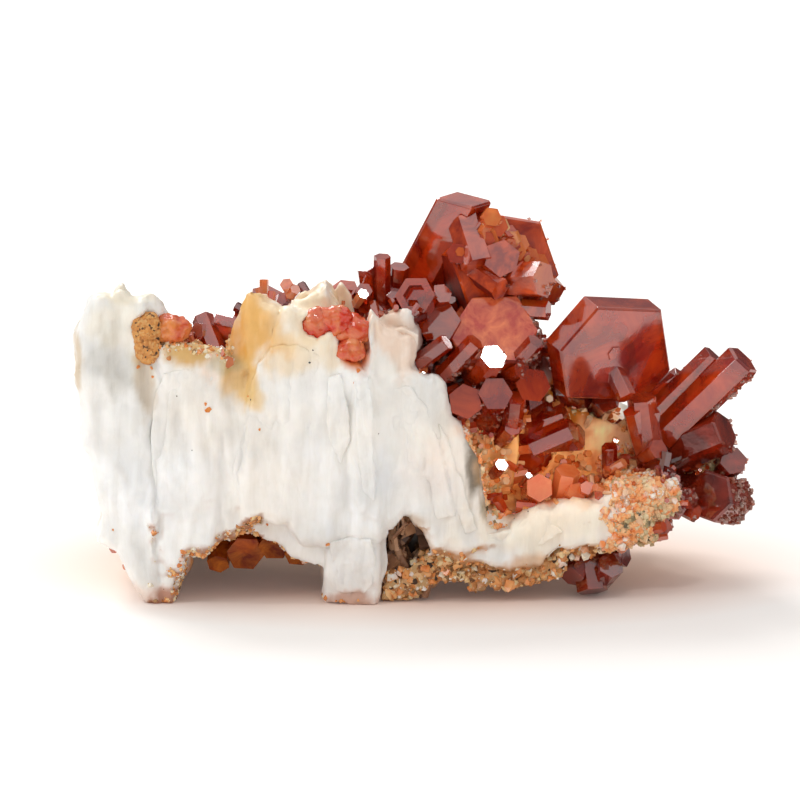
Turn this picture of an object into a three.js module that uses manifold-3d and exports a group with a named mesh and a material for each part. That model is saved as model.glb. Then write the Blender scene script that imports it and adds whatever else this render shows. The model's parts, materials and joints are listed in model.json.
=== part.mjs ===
// Vanadinite on barite: a curved wall of white barite blades with an iron-stained crust,
// carrying red-brown hexagonal vanadinite prisms. Millimetres, +Z up, front towards -Y.
import * as THREE from "three";
import { mergeVertices } from "three/addons/utils/BufferGeometryUtils.js";
import Module from "manifold-3d";

const wasm = await Module();
wasm.setup();

// Driving dimensions, all in mm unless said otherwise.
const SEAT_GAP = 0.3; // clearance kept between two neighbouring pieces
const BLADE_BEVEL = 0.7; // worn edge of a barite blade
const CRYSTAL_BEVEL = 0.12; // small pyramid faces round the end of a large crystal
const BACKWARD_FALL = 0.27; // how much the top of a blade drops per mm of depth
const FALL_START = 10; // height where that drop begins, growing evenly up to FALL_FULL
const FALL_FULL = 26;
const SMALLEST_BODY = 0.25; // chips under this many cubic mm are dropped
const FLOOR_DEPTH = 4; // everything below z = 0 is cut off flat for this much

// Barite blades: outline in x and z, front and back in y, turn about +Z in degrees.
const PILLAR = {
  outline: [
    [-29.9, 23.9], [-29.6, 25.0], [-27.7, 27.8], [-26.7, 27.5], [-25.7, 28.3], [-24.9, 27.6],
    [-22.8, 27.5], [-22.0, 26.3], [-21.9, 23.5], [-21.4, 18.9], [-21.9, 12.0], [-20.9, 6.0],
    [-19.9, 3.2], [-20.5, 1.6], [-21.4, -0.6], [-24.0, -0.6], [-25.5, 1.7], [-26.2, 4.4],
    [-27.8, 5.4], [-27.4, 7.7], [-27.9, 10.2], [-29.0, 14.6], [-29.6, 20.0],
  ],
  front: -13.0,
  back: 3.5,
  turn: 0,
};
const LEFT_CENTRE = {
  outline: [
    [-23.4, 23.4], [-20.5, 23.6], [-17.8, 23.1], [-15.6, 22.2], [-14.2, 19.0], [-12.6, 8.2],
    [-14.9, 6.7], [-16.8, 6.0], [-18.9, 4.7], [-20.4, 4.3], [-20.6, 2.4], [-22.5, 3.0],
    [-23.9, 8.0], [-22.6, 14.0], [-22.2, 19.5],
  ],
  front: -13.9,
  back: 6,
  turn: 2,
};
const YELLOW_BLADE = {
  outline: [
    [-16.1, 20.5], [-15.7, 23.2], [-14.4, 27.0], [-13.7, 28.2], [-11.3, 26.6], [-11.0, 21.0],
  ],
  front: -14.0,
  back: -7,
  turn: -14,
};
const MAIN_WALL = {
  outline: [
    [-14.6, 20.0], [-13.4, 22.8], [-12.3, 25.0], [-11.3, 26.8], [-8.4, 27.0], [-6.3, 24.4],
    [-5.6, 22.6], [-4.6, 21.0], [-2.9, 20.8], [-2.2, 16.0], [-2.0, 9.0], [-2.9, 6.2],
    [-8.5, 5.4], [-10.4, 5.6], [-11.5, 7.4], [-13.4, 8.0], [-15.2, 7.2], [-15.4, 12.0],
  ],
  front: -14.6,
  back: 6,
  turn: 0,
};
const WALL_RIDGE = {
  outline: [
    [-6.1, 9.0], [-6.6, 14.0], [-6.0, 20.8], [-3.9, 21.1], [-2.8, 18.6], [-2.6, 10.5], [-3.4, 7.2],
  ],
  front: -15.0,
  back: -8,
  turn: 5,
};
const PEAK_BLADE = {
  outline: [[-11.6, 22.0], [-11.0, 27.2], [-9.3, 27.6], [-8.0, 28.6], [-7.0, 26.6], [-5.4, 22.0]],
  front: -12.0,
  back: -6.5,
  turn: 8,
};
const FIN = {
  outline: [
    [-4.8, 18.5], [-4.5, 22.6], [-3.9, 26.3], [-2.7, 24.9], [0.2, 24.0], [0.0, 22.2],
    [-0.5, 20.6], [-0.3, 17.5],
  ],
  front: -14.0,
  back: -10.6,
  turn: 8,
};
const BACK_FIN = {
  outline: [[-3.6, 20.0], [-3.6, 24.4], [-2.4, 25.7], [-0.2, 25.8], [0.6, 24.2], [0.8, 20.0]],
  front: -11.6,
  back: -7,
  turn: -6,
  bevel: 0,
};
const RIGHT_CENTRE = {
  outline: [
    [-4.8, 19.4], [-2.5, 21.2], [1.3, 20.9], [2.1, 20.0], [2.5, 18.6], [3.2, 16.8], [4.3, 14.9],
    [4.9, 13.2], [5.0, 11.2], [5.6, 9.8], [6.0, 7.6], [7.4, 5.4], [4.5, 4.4], [2.0, 4.0],
    [0.9, 4.9], [0.1, 6.6], [-1.3, 8.1], [-2.6, 7.0], [-3.9, 8.2], [-4.6, 13.0],
  ],
  front: -14.2,
  back: -2,
  turn: 5,
};
const MID_FOOT = {
  outline: [
    [-8.1, 8.0], [-8.0, 3.0], [-7.9, -0.6], [-3.2, -0.6], [-2.9, 2.8], [-2.8, 6.0], [-3.6, 8.6],
  ],
  front: -13.6,
  back: -6.5,
  turn: 4,
};
const ARCH_LINING = {
  outline: [
    [-15.4, 9.0], [-14.6, 6.0], [-12.2, 5.2], [-11.2, 4.3], [-10.2, 3.7], [-7.0, 3.0], [-6.0, 9.0],
  ],
  front: -12.2,
  back: -2,
  turn: -2,
  bevel: 0,
};
const SHELF_FRONT = {
  outline: [
    [1.0, 4.2], [4.0, 3.6], [6.0, 3.1], [8.0, 3.1], [9.6, 3.7], [11.0, 4.4], [12.6, 5.2],
    [14.9, 4.9], [16.8, 4.4], [18.6, 4.6], [20.2, 6.4], [20.2, 8.4], [16.6, 8.6], [13.6, 9.2],
    [12.4, 9.1], [11.0, 8.2], [9.6, 7.8], [7.4, 6.8], [5.0, 7.6], [2.0, 8.0],
  ],
  front: -13.2,
  back: -6,
  turn: 2,
  fall: 0,
};
const SHELF_END = {
  outline: [
    [15.0, 5.6], [18.3, 5.0], [21.6, 7.2], [22.6, 8.6], [22.3, 10.0], [21.0, 10.8], [17.0, 10.2],
    [14.5, 8.8],
  ],
  front: -11.6,
  back: 2,
  turn: 6,
  fall: 0,
};
const SHELF_TOP = {
  outline: [
    [4.0, 6.6], [18.0, 6.8], [20.8, 7.6], [21.0, 9.0], [17.5, 9.8], [12.0, 9.6], [7.0, 9.8],
    [3.6, 11.0],
  ],
  front: -11.6,
  back: 8,
  turn: 0,
  fall: 0,
  rise: 15, // the top climbs towards the back by this many degrees
  bevel: 0,
};
const CRYSTAL_BED = {
  outline: [
    [-3.0, 8.0], [-3.4, 21.5], [-0.6, 24.0], [7.6, 24.6], [10.6, 22.4], [14.6, 16.0],
    [19.8, 13.4], [21.4, 10.0], [19.6, 7.0], [6.0, 6.0],
  ],
  front: -5.6,
  back: 10,
  turn: 0,
  bevel: 0,
};
const RIGHT_BED = {
  outline: [[17.0, 7.0], [18.0, 12.6], [22.6, 13.2], [25.8, 11.2], [26.6, 8.4], [24.4, 6.6]],
  front: -5,
  back: 4,
  turn: 0,
  bevel: 0,
};
const PANEL_SIDE = {
  outline: [
    [1.0, 9.0], [0.6, 18.4], [2.0, 21.6], [5.0, 21.8], [9.2, 16.4], [8.4, 9.6], [6.0, 8.0],
  ],
  front: -8.9,
  back: -3,
  turn: 10,
  bevel: 0,
};
const BACK_WALL = {
  outline: [
    [-27.2, 6.0], [-27.6, 16.0], [-25.0, 19.6], [-16.0, 20.0], [-8.0, 22.4], [0.0, 22.6],
    [7.0, 21.0], [11.0, 17.6], [17.0, 13.4], [20.6, 9.4], [19.0, 5.6], [6.0, 5.6], [-8.0, 6.6],
    [-18.0, 5.8],
  ],
  front: 1,
  back: 12,
  turn: -2,
  bevel: 0,
};
const BACK_HUMP = {
  outline: [
    [-16.0, 7.0], [-17.4, 13.0], [-13.0, 17.4], [-5.0, 19.4], [3.0, 18.0], [8.0, 13.0],
    [6.4, 7.6], [-4.0, 5.8],
  ],
  front: 9,
  back: 16.4,
  turn: 4,
  bevel: 0,
};
const BACK_FOOT_LEFT = {
  outline: [[-24.6, 9.0], [-24.0, 3.0], [-22.6, -0.6], [-17.8, -0.6], [-16.4, 3.4], [-15.4, 9.0]],
  front: 4.5,
  back: 13,
  turn: 6,
  bevel: 0,
};
const BACK_FOOT_RIGHT = {
  outline: [[1.6, 8.0], [3.0, 2.6], [4.2, -0.6], [11.4, -0.6], [13.0, 3.0], [14.6, 8.0]],
  front: 1,
  back: 11,
  turn: -6,
  bevel: 0,
};
const CAVITY_BACK = {
  outline: [[-4.4, 9.0], [-4.2, 1.6], [-2.0, -0.6], [0.2, -0.6], [1.4, 2.6], [4.6, 4.2], [5.0, 9.0]],
  front: -8.6,
  back: 1,
  turn: 0,
  bevel: 0,
};
const BARITE_BLADES = [
  PILLAR, LEFT_CENTRE, YELLOW_BLADE, MAIN_WALL, WALL_RIDGE, PEAK_BLADE, FIN, BACK_FIN,
  RIGHT_CENTRE, MID_FOOT, ARCH_LINING, SHELF_FRONT, SHELF_END, SHELF_TOP, CRYSTAL_BED,
  RIGHT_BED, PANEL_SIDE, BACK_WALL, BACK_HUMP, BACK_FOOT_LEFT, BACK_FOOT_RIGHT, CAVITY_BACK,
];

// Iron-stained crust hanging under the rim of the shelf.
const RIM_CRUST = {
  outline: [
    [-3.0, -0.6], [-0.4, -0.6], [0.4, 0.9], [1.6, 1.8], [4.2, 2.1], [5.3, 0.8], [6.6, 1.4],
    [8.5, 1.1], [10.3, 1.5], [12.7, 1.2], [13.4, 2.8], [15.6, 3.2], [17.4, 3.9], [18.4, 5.4],
    [16.6, 6.0], [12.8, 5.6], [9.6, 5.0], [6.0, 4.4], [1.6, 4.8], [0.4, 3.6], [-2.6, 2.4],
  ],
  front: -12.4,
  back: -8.2,
  turn: 1,
  bevel: 0,
};

// Rounded lumps: centre, radii along x, y and z, and a seed for the bumps.
const LEFT_NODULE = [
  { centre: [-23.4, -13.1, 24.6], radii: [1.1, 0.9, 1.2], seed: 3 },
  { centre: [-23.3, -13.2, 22.9], radii: [0.9, 0.8, 1.1], seed: 5 },
];
const PINK_LUMP = [
  { centre: [-21.4, -12.6, 24.6], radii: [1.5, 0.9, 0.9], seed: 7 },
];
const RED_NODULE = [
  { centre: [-8.6, -13.6, 25.1], radii: [1.3, 0.9, 1.1], seed: 11 },
  { centre: [-7.0, -13.6, 25.5], radii: [1.4, 0.9, 1.0], seed: 12 },
  { centre: [-5.4, -13.3, 24.6], radii: [1.2, 0.9, 1.1], seed: 13 },
  { centre: [-5.6, -13.8, 22.9], radii: [0.9, 0.8, 0.9], seed: 14 },
];

// Brown flakes inside the small cavity: tilt in the x-z plane and turn about +Z in degrees.
const CAVITY_FLAKES = [
  { centre: [-1.9, -10.4, 2.4], size: [0.7, 2.6, 4.0], tilt: 20, turn: 10 },
  { centre: [-0.9, -10.6, 3.6], size: [0.6, 2.4, 4.0], tilt: -24, turn: -14 },
  { centre: [-0.3, -10.2, 2.2], size: [0.6, 2.6, 3.6], tilt: 34, turn: 20 },
  { centre: [-1.6, -10.0, 4.6], size: [0.6, 2.2, 3.0], tilt: 42, turn: 0 },
];

// Vanadinite prisms. tip = middle of the end face, lean = direction of the long axis seen
// from the front (0 = +X, 90 = up), toward = how far it points at the viewer, roll = turn
// about its own axis (all degrees), width = across flats, drift = sideways creep per mm.
const CROWN_PRISM = [
  { tip: [4.3, -5, 34.5], lean: 83, toward: 16.5, roll: 73.5, length: 8.5, drift: 0.33,
    faces: [1.07, 1.41, 2.27, 1.07, 1.41, 2.27], bevelled: true },
];
const CROWN_BARREL = [
  { tip: [7.9, -6.6, 28.9], lean: 20, toward: 72, roll: 29, width: 8.5, length: 6.5,
    bevelled: true },
  { tip: [7.6, -8.2, 29.9], lean: 60, toward: 60, roll: 20, width: 2.8, length: 4 },
  { tip: [5.6, -6.6, 31.0], lean: 98, toward: 18, roll: 78, width: 2.8, length: 7 },
  { tip: [11.2, -9.0, 28.2], lean: 8, toward: 34, roll: 36, width: 2.7, length: 4.8 },
  { tip: [7.4, -9.2, 27.4], lean: -28, toward: 42, roll: 30, width: 1.6, length: 4 },
  { tip: [11.8, -6.5, 26.3], lean: -46, toward: 40, roll: 0, width: 2.6, length: 4 },
  { tip: [11.6, -8.4, 25.3], lean: 0, toward: 20, roll: 30, width: 1.3, length: 3.5 },
  { tip: [5.6, -8.0, 29.2], lean: -70, toward: 40, roll: 10, width: 2.6, length: 4.5 },
];
const CENTRE_CLUSTER = [
  { tip: [6.7, -8.4, 23.6], lean: 90, toward: 38, roll: 30, width: 7.4, length: 4.5,
    bevelled: true },
  { tip: [5.2, -12.0, 23.2], lean: 50, toward: 16, roll: 32, width: 1.3, length: 4.4 },
  { tip: [2.7, -12.0, 23.2], lean: 40, toward: 14, roll: 30, width: 1.2, length: 3.8 },
  { tip: [6.8, -12.6, 22.0], lean: 62, toward: 46, roll: 4, width: 1.9, length: 3.8 },
  { tip: [10.5, -11.4, 23.1], lean: 52, toward: 22, roll: 30, width: 1.2, length: 4.4 },
  { tip: [9.3, -11.6, 20.7], lean: 30, toward: 50, roll: 10, width: 1.3, length: 3 },
  { tip: [4.4, -12.4, 18.0], lean: 80, toward: 70, roll: 18, width: 2.5, length: 5 },
  { tip: [7.0, -12.0, 18.6], lean: 60, toward: 62, roll: 0, width: 2.5, length: 5 },
  { tip: [10.3, -11.6, 19.3], lean: 40, toward: 76, roll: 12, width: 2.5, length: 4 },
  { tip: [8.8, -11.6, 18.1], lean: 84, toward: 35, roll: 30, width: 1.35, length: 4 },
  { tip: [8.5, -10.4, 15.2], lean: 60, toward: 55, roll: 20, width: 1.1, length: 3.6 },
  { tip: [6.6, -9.6, 19.6], lean: 90, toward: 40, roll: 10, width: 4.6, length: 6 },
];
const OPEN_HEXAGON = [
  { tip: [0.0, -9.8, 26.9], lean: 120, toward: 62, roll: 0, width: 2.9, length: 4, bowl: 0.8 },
  { tip: [2.0, -9.4, 24.5], lean: 100, toward: 55, roll: 22, width: 3.3, length: 5 },
  { tip: [2.3, -8.9, 26.9], lean: 60, toward: 45, roll: 10, width: 1.5, length: 4 },
  { tip: [0.1, -10.6, 24.8], lean: -80, toward: 60, roll: 30, width: 1.2, length: 2.5 },
];
const BIG_CRYSTAL = [
  { tip: [17.8, -8.0, 21.1], lean: -29.7, toward: 52.5, roll: 15.1, length: 2.2,
    faces: [4.6, 5.8, 5.5, 4.1, 6.0, 4.9], bevelled: true },
  { tip: [17.3, -6.6, 20.2], lean: -29.7, toward: 52.5, roll: 15.1, width: 4.4, length: 4.6 },
  { tip: [18.6, -8.6, 17.6], lean: -62, toward: 30, roll: 30, width: 1.3, length: 3.2 },
  { tip: [17.5, -8.55, 21.5], lean: -29.7, toward: 52.5, roll: 20, width: 1.0, length: 1 },
];
const RIGHT_PRISM = [
  { tip: [28.9, -6.0, 20.4], lean: 46, toward: 8, roll: 34, width: 2.7, length: 10.2,
    bevelled: true },
  { tip: [26.4, -4.6, 20.4], lean: 46, toward: 4, roll: 34, width: 1.9, length: 7.5 },
  { tip: [23.6, -3.6, 18.2], lean: 37, toward: 10, roll: 20, width: 1.8, length: 5.2 },
];
const EDGE_CRYSTAL = [
  { tip: [27.3, -6.5, 14.1], lean: 29, toward: 22, roll: 12, width: 3.1, length: 6,
    bevelled: true },
];
const LOWER_RIGHT = [
  { tip: [26.0, -8.2, 8.6], lean: 150, toward: 58, roll: 14, width: 3.9, length: 4.2,
    bevelled: true },
  { tip: [28.1, -6.6, 11.4], lean: 60, toward: 60, roll: 10, width: 2.0, length: 4 },
  { tip: [27.5, -6.2, 9.2], lean: 10, toward: 30, roll: 30, width: 2.2, length: 4.5 },
];
const RIGHT_RIM = [
  { tip: [21.1, -10.0, 6.1], lean: -70, toward: 58, roll: 10, width: 2.6, length: 4 },
  { tip: [22.5, -9.6, 9.6], lean: 80, toward: 45, roll: 10, width: 1.5, length: 4 },
  { tip: [24.0, -9.2, 8.6], lean: 30, toward: 50, roll: 20, width: 1.6, length: 4 },
  { tip: [22.9, -9.8, 7.8], lean: -10, toward: 60, roll: 0, width: 1.7, length: 4 },
  { tip: [24.7, -9.0, 7.2], lean: -20, toward: 40, roll: 30, width: 1.2, length: 4 },
];
const HANGING = [
  { tip: [17.2, -11.6, 3.1], lean: 62, toward: 50, roll: 26, width: 1.9, length: 4.4 },
  { tip: [15.6, -11.0, 0.7], lean: -82, toward: 24, roll: 14, width: 2.2, length: 5.2 },
  { tip: [13.7, -11.0, 2.1], lean: -130, toward: 40, roll: 20, width: 2.3, length: 4.6 },
  { tip: [16.8, -11.2, 1.7], lean: -50, toward: 40, roll: 10, width: 1.7, length: 4 },
  { tip: [18.4, -10.6, 3.7], lean: 10, toward: 35, roll: 30, width: 1.5, length: 4 },
];
const SHELF_CRYSTALS = [
  { tip: [13.8, -8.4, 14.6], lean: 27, toward: 14, roll: 30, width: 1.75, length: 3.8 },
  { tip: [13.2, -7.2, 15.6], lean: 24, toward: 16, roll: 30, width: 1.35, length: 3.6 },
  { tip: [14.4, -7.0, 13.6], lean: 10, toward: 30, roll: 10, width: 1.8, length: 4 },
  { tip: [7.6, -6.0, 14.2], lean: 60, toward: 40, roll: 10, width: 3.0, length: 5 },
  { tip: [9.9, -6.4, 15.6], lean: 95, toward: 30, roll: 0, width: 3.4, length: 5.4 },
  { tip: [11.6, -5.4, 16.2], lean: 70, toward: 50, roll: 20, width: 3.0, length: 5 },
];
const DARK_MIDDLE = [
  { tip: [14.2, -5.0, 18.7], lean: 100, toward: 50, roll: 8, width: 4.2, length: 6 },
  { tip: [16.8, -6.0, 17.0], lean: 60, toward: 60, roll: 20, width: 2.2, length: 5 },
];
const UPRIGHT_BUNDLE = [
  { tip: [20.0, -7.4, 17.2], lean: 98, toward: 12, roll: 20, width: 1.9, length: 6.4 },
  { tip: [20.9, -7.0, 16.1], lean: 80, toward: 14, roll: 0, width: 1.3, length: 5.4 },
  { tip: [19.1, -7.9, 16.1], lean: 104, toward: 20, roll: 10, width: 1.2, length: 5 },
  { tip: [21.4, -8.2, 12.8], lean: 40, toward: 50, roll: 20, width: 1.4, length: 3 },
];
const SMALL_SHELF_PRISM = [
  { tip: [17.1, -8.6, 13.1], lean: 92, toward: 22, roll: 30, width: 1.0, length: 3.4 },
];
const PALE_SHELF = [
  { tip: [10.9, -11.2, 10.0], lean: 70, toward: 66, roll: 20, width: 2.0, length: 3.4 },
  { tip: [13.4, -10.4, 11.3], lean: 80, toward: 24, roll: 30, width: 1.7, length: 3.8 },
  { tip: [14.2, -11.0, 9.5], lean: 40, toward: 60, roll: 30, width: 1.4, length: 3 },
];
const UPPER_LEFT = [
  { tip: [-2.9, -8.0, 30.0], lean: 90, toward: 10, roll: 20, width: 1.1, length: 6 },
  { tip: [-4.4, -7.6, 29.0], lean: 98, toward: 22, roll: 10, width: 1.2, length: 5 },
  { tip: [-4.5, -8.6, 27.1], lean: 84, toward: 58, roll: 30, width: 1.1, length: 3 },
  { tip: [-1.4, -7.0, 28.9], lean: 84, toward: 16, roll: 30, width: 1.3, length: 6 },
  { tip: [-2.0, -7.0, 27.2], lean: 80, toward: 40, roll: 0, width: 2.4, length: 5 },
  { tip: [-3.4, -7.4, 25.8], lean: 90, toward: 30, roll: 12, width: 3.2, length: 4 },
];
const LEFT_WALL = [
  { tip: [-15.2, -10.2, 24.0], lean: 14, toward: 30, roll: 24, width: 2.8, length: 5,
    bevelled: true },
  { tip: [-17.3, -12.2, 22.1], lean: -64, toward: 42, roll: 24, width: 1.5, length: 4 },
  { tip: [-15.9, -12.6, 21.5], lean: 0, toward: 26, roll: 30, width: 1.1, length: 2.6 },
  { tip: [-19.1, -10.8, 23.7], lean: 160, toward: 30, roll: 10, width: 1.8, length: 3.6 },
];
const BLADE_CRYSTALS = [
  { tip: [-12.9, -7.0, 26.2], lean: 76, toward: 26, roll: 8, width: 2.6, length: 4.4 },
  { tip: [-11.3, -7.2, 25.8], lean: 50, toward: 50, roll: 20, width: 1.6, length: 3.6 },
];
const MIDDLE_TOP = [
  { tip: [-6.2, -7.0, 26.9], lean: 96, toward: 30, roll: 12, width: 2.0, length: 4.4 },
  { tip: [-5.6, -7.8, 26.3], lean: 40, toward: 40, roll: 20, width: 1.3, length: 3 },
];
const ARCH_CRYSTALS = [
  { tip: [-15.0, -8.2, 3.4], lean: -70, toward: 74, roll: 4, width: 2.8, length: 4.6 },
  { tip: [-12.4, -8.4, 4.1], lean: -90, toward: 66, roll: 30, width: 2.4, length: 4.6 },
  { tip: [-10.3, -8.8, 3.4], lean: -80, toward: 60, roll: 10, width: 2.0, length: 4.6 },
  { tip: [-17.4, -8.8, 2.6], lean: -100, toward: 60, roll: 20, width: 1.6, length: 5 },
];
const BACK_LEFT = [
  { tip: [-20.0, 11.2, 19.2], lean: 100, toward: -24, roll: 10, width: 2.6, length: 5 },
  { tip: [-17.2, 12.6, 18.0], lean: 60, toward: -46, roll: 30, width: 3.4, length: 6 },
  { tip: [-22.4, 13.2, 16.4], lean: 150, toward: -58, roll: 20, width: 2.8, length: 5 },
  { tip: [-19.4, 14.6, 13.0], lean: 20, toward: -72, roll: 0, width: 2.0, length: 5 },
];
const BACK_MIDDLE = [
  { tip: [-9.0, 16.0, 19.4], lean: 80, toward: -34, roll: 15, width: 4.0, length: 7 },
  { tip: [-5.4, 18.4, 16.2], lean: 40, toward: -64, roll: 25, width: 3.2, length: 6 },
  { tip: [-12.0, 17.6, 14.2], lean: 130, toward: -62, roll: 5, width: 2.6, length: 5 },
  { tip: [-8.2, 18.6, 11.0], lean: -60, toward: -76, roll: 10, width: 3.6, length: 5 },
];
const BACK_RIGHT = [
  { tip: [4.6, 14.0, 20.4], lean: 70, toward: -40, roll: 20, width: 3.0, length: 6 },
  { tip: [8.6, 13.6, 16.8], lean: 30, toward: -54, roll: 0, width: 4.4, length: 6 },
  { tip: [14.4, 13.2, 12.0], lean: 34, toward: -60, roll: 30, width: 2.8, length: 5 },
  { tip: [10.0, 14.4, 10.4], lean: -20, toward: -70, roll: 12, width: 2.4, length: 5 },
];

function radians(degrees) {
  return (degrees * Math.PI) / 180;
}

// Turns a three.js geometry into a solid that can be joined and cut.
function solidOf(geometry) {
  const bare = geometry.clone();
  bare.deleteAttribute("normal");
  bare.deleteAttribute("uv");
  const merged = mergeVertices(bare, 1e-4);
  const triVerts = new Uint32Array(merged.index.array);
  const vertProperties = new Float32Array(merged.attributes.position.array);
  return new wasm.Manifold(new wasm.Mesh({ numProp: 3, vertProperties, triVerts }));
}

function joined(solids) {
  let whole = solids[0];
  for (const solid of solids.slice(1)) {
    whole = whole.add(solid);
  }
  return whole;
}

// The separate bodies of a solid, biggest first, without chips cut loose by a neighbour.
function bodiesOf(solid) {
  const bodies = solid.decompose();
  bodies.sort((a, b) => b.volume() - a.volume());
  return bodies.filter((body) => body.volume() > SMALLEST_BODY);
}

function shapeOf(points) {
  const shape = new THREE.Shape();
  shape.moveTo(points[0][0], points[0][1]);
  for (const [u, v] of points.slice(1)) {
    shape.lineTo(u, v);
  }
  shape.closePath();
  return shape;
}

// Slopes the top of a blade down behind its front edge; the bottom stays level.
function fallBackwards(geometry, halfDepth, fall) {
  const position = geometry.getAttribute("position");
  for (let i = 0; i < position.count; i += 1) {
    const behind = position.getY(i) + halfDepth;
    const z = position.getZ(i);
    const share = THREE.MathUtils.clamp((z - FALL_START) / (FALL_FULL - FALL_START), 0, 1);
    position.setZ(i, z - fall * behind * share);
  }
}

// A blade: its outline pushed from front to back with a worn edge, then turned on the spot.
function blade(spec, grow) {
  const bevel = spec.bevel ?? BLADE_BEVEL;
  const depth = spec.back - spec.front;
  const geometry = new THREE.ExtrudeGeometry(shapeOf(spec.outline), {
    depth: depth - 2 * bevel + 2 * grow,
    bevelEnabled: bevel > 0 || grow > 0,
    bevelThickness: bevel,
    bevelSize: bevel,
    bevelOffset: grow - bevel,
    bevelSegments: 1,
  });
  geometry.translate(0, 0, bevel - grow - depth / 2);
  geometry.rotateX(Math.PI / 2);
  fallBackwards(geometry, depth / 2, spec.fall ?? BACKWARD_FALL);
  geometry.computeBoundingBox();
  const middle = geometry.boundingBox.getCenter(new THREE.Vector3());
  geometry.translate(-middle.x, -middle.y, -middle.z);
  geometry.rotateX(radians(spec.rise ?? 0));
  geometry.rotateZ(radians(spec.turn));
  geometry.translate(middle.x, (spec.front + spec.back) / 2, middle.z);
  return solidOf(geometry);
}

// Corners of a hexagon whose six sides lie at the given distances from the middle.
function hexagon(distances, roll) {
  const corners = [];
  for (let k = 0; k < 6; k += 1) {
    const a = radians(roll + 60 * k);
    const b = radians(roll + 60 * (k + 1));
    const da = distances[k];
    const db = distances[(k + 1) % 6];
    const scale = 1 / Math.sin(b - a);
    const u = (da * Math.sin(b) - db * Math.sin(a)) * scale;
    const v = (db * Math.cos(a) - da * Math.cos(b)) * scale;
    corners.push([u, v]);
  }
  return corners;
}

function crystalAxes(spec) {
  const lean = radians(spec.lean);
  const toward = radians(spec.toward);
  const axis = new THREE.Vector3(
    Math.cos(toward) * Math.cos(lean),
    -Math.sin(toward),
    Math.cos(toward) * Math.sin(lean),
  );
  const side = new THREE.Vector3(-Math.sin(lean), 0, Math.cos(lean));
  const front = new THREE.Vector3().crossVectors(axis, side);
  return { axis, side, front };
}

// A hexagonal prism with a small bevel at both ends, its tip placed and its axis turned.
function crystal(spec, grow) {
  const half = (spec.width ?? 2) / 2;
  const distances = spec.faces ?? [half, half, half, half, half, half];
  const grown = distances.map((distance) => distance + grow);
  const length = spec.length + 2 * grow;
  const bevel = spec.bevelled && grow === 0 ? CRYSTAL_BEVEL : 0;
  const geometry = new THREE.ExtrudeGeometry(shapeOf(hexagon(grown, spec.roll)), {
    depth: length - 2 * bevel,
    bevelEnabled: bevel > 0,
    bevelThickness: bevel,
    bevelSize: bevel,
    bevelOffset: -bevel,
    bevelSegments: 1,
  });
  geometry.translate(0, 0, bevel + grow - length);
  const creep = spec.drift ?? 0;
  geometry.applyMatrix4(new THREE.Matrix4().makeShear(0, 0, 0, 0, -creep, 0));
  const { axis, side, front } = crystalAxes(spec);
  const placing = new THREE.Matrix4().makeBasis(side, front, axis);
  placing.setPosition(...spec.tip);
  geometry.applyMatrix4(placing);
  return solidOf(geometry);
}

// The hollow in the end of a skeletal crystal.
function bowl(spec) {
  const inner = { ...spec, width: spec.width - 0.8, length: 2 * spec.bowl };
  const { axis } = crystalAxes(spec);
  const raised = new THREE.Vector3(...spec.tip).addScaledVector(axis, spec.bowl);
  return crystal({ ...inner, tip: raised.toArray() }, 0);
}

function crystalBody(spec, grow) {
  const body = crystal(spec, grow);
  if (spec.bowl && grow === 0) {
    return body.subtract(bowl(spec));
  }
  return body;
}

// A rounded lump with small bumps, from a subdivided icosahedron.
function lump(spec, grow) {
  const geometry = new THREE.IcosahedronGeometry(1, 1);
  const position = geometry.getAttribute("position");
  const point = new THREE.Vector3();
  for (let i = 0; i < position.count; i += 1) {
    point.fromBufferAttribute(position, i);
    const wave = Math.sin(5 * point.x + spec.seed) * Math.sin(4 * point.y + 2 * spec.seed);
    const swell = 1 + 0.16 * wave * Math.sin(6 * point.z + spec.seed);
    const rx = spec.radii[0] * swell + grow;
    const ry = spec.radii[1] * swell + grow;
    const rz = spec.radii[2] * swell + grow;
    position.setXYZ(i, point.x * rx, point.y * ry, point.z * rz);
  }
  geometry.translate(...spec.centre);
  return solidOf(geometry);
}

function flake(spec, grow) {
  const [x, y, z] = spec.size;
  const geometry = new THREE.BoxGeometry(x + 2 * grow, y + 2 * grow, z + 2 * grow);
  geometry.rotateY(radians(spec.tilt));
  geometry.rotateZ(radians(spec.turn));
  geometry.translate(...spec.centre);
  return solidOf(geometry);
}

function below(floor) {
  const geometry = new THREE.BoxGeometry(120, 120, FLOOR_DEPTH);
  geometry.translate(0, 0, floor - FLOOR_DEPTH / 2);
  return solidOf(geometry);
}

const BARITE = { color: 0xf1eee6, roughness: 0.5, metalness: 0 };
const VANADINITE = { color: 0x8e2414, roughness: 0.15, metalness: 0 };
const PALE_VANADINITE = { color: 0xd8693c, roughness: 0.15, metalness: 0 };
const IRON_CRUST = { color: 0xc07a3c, roughness: 0.8, metalness: 0 };
const BROWN_CRUST = { color: 0x8a5a2c, roughness: 0.8, metalness: 0 };
const RED_LUMP = { color: 0xc9705a, roughness: 0.4, metalness: 0 };

const group = new THREE.Group();
const placed = [];

function addMesh(name, look, body) {
  const mesh = body.getMesh();
  const geometry = new THREE.BufferGeometry();
  geometry.setAttribute("position", new THREE.BufferAttribute(mesh.vertProperties, 3));
  geometry.setIndex(new THREE.BufferAttribute(mesh.triVerts, 1));
  const node = new THREE.Mesh(geometry, new THREE.MeshStandardMaterial(look));
  node.name = name;
  group.add(node);
}

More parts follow.
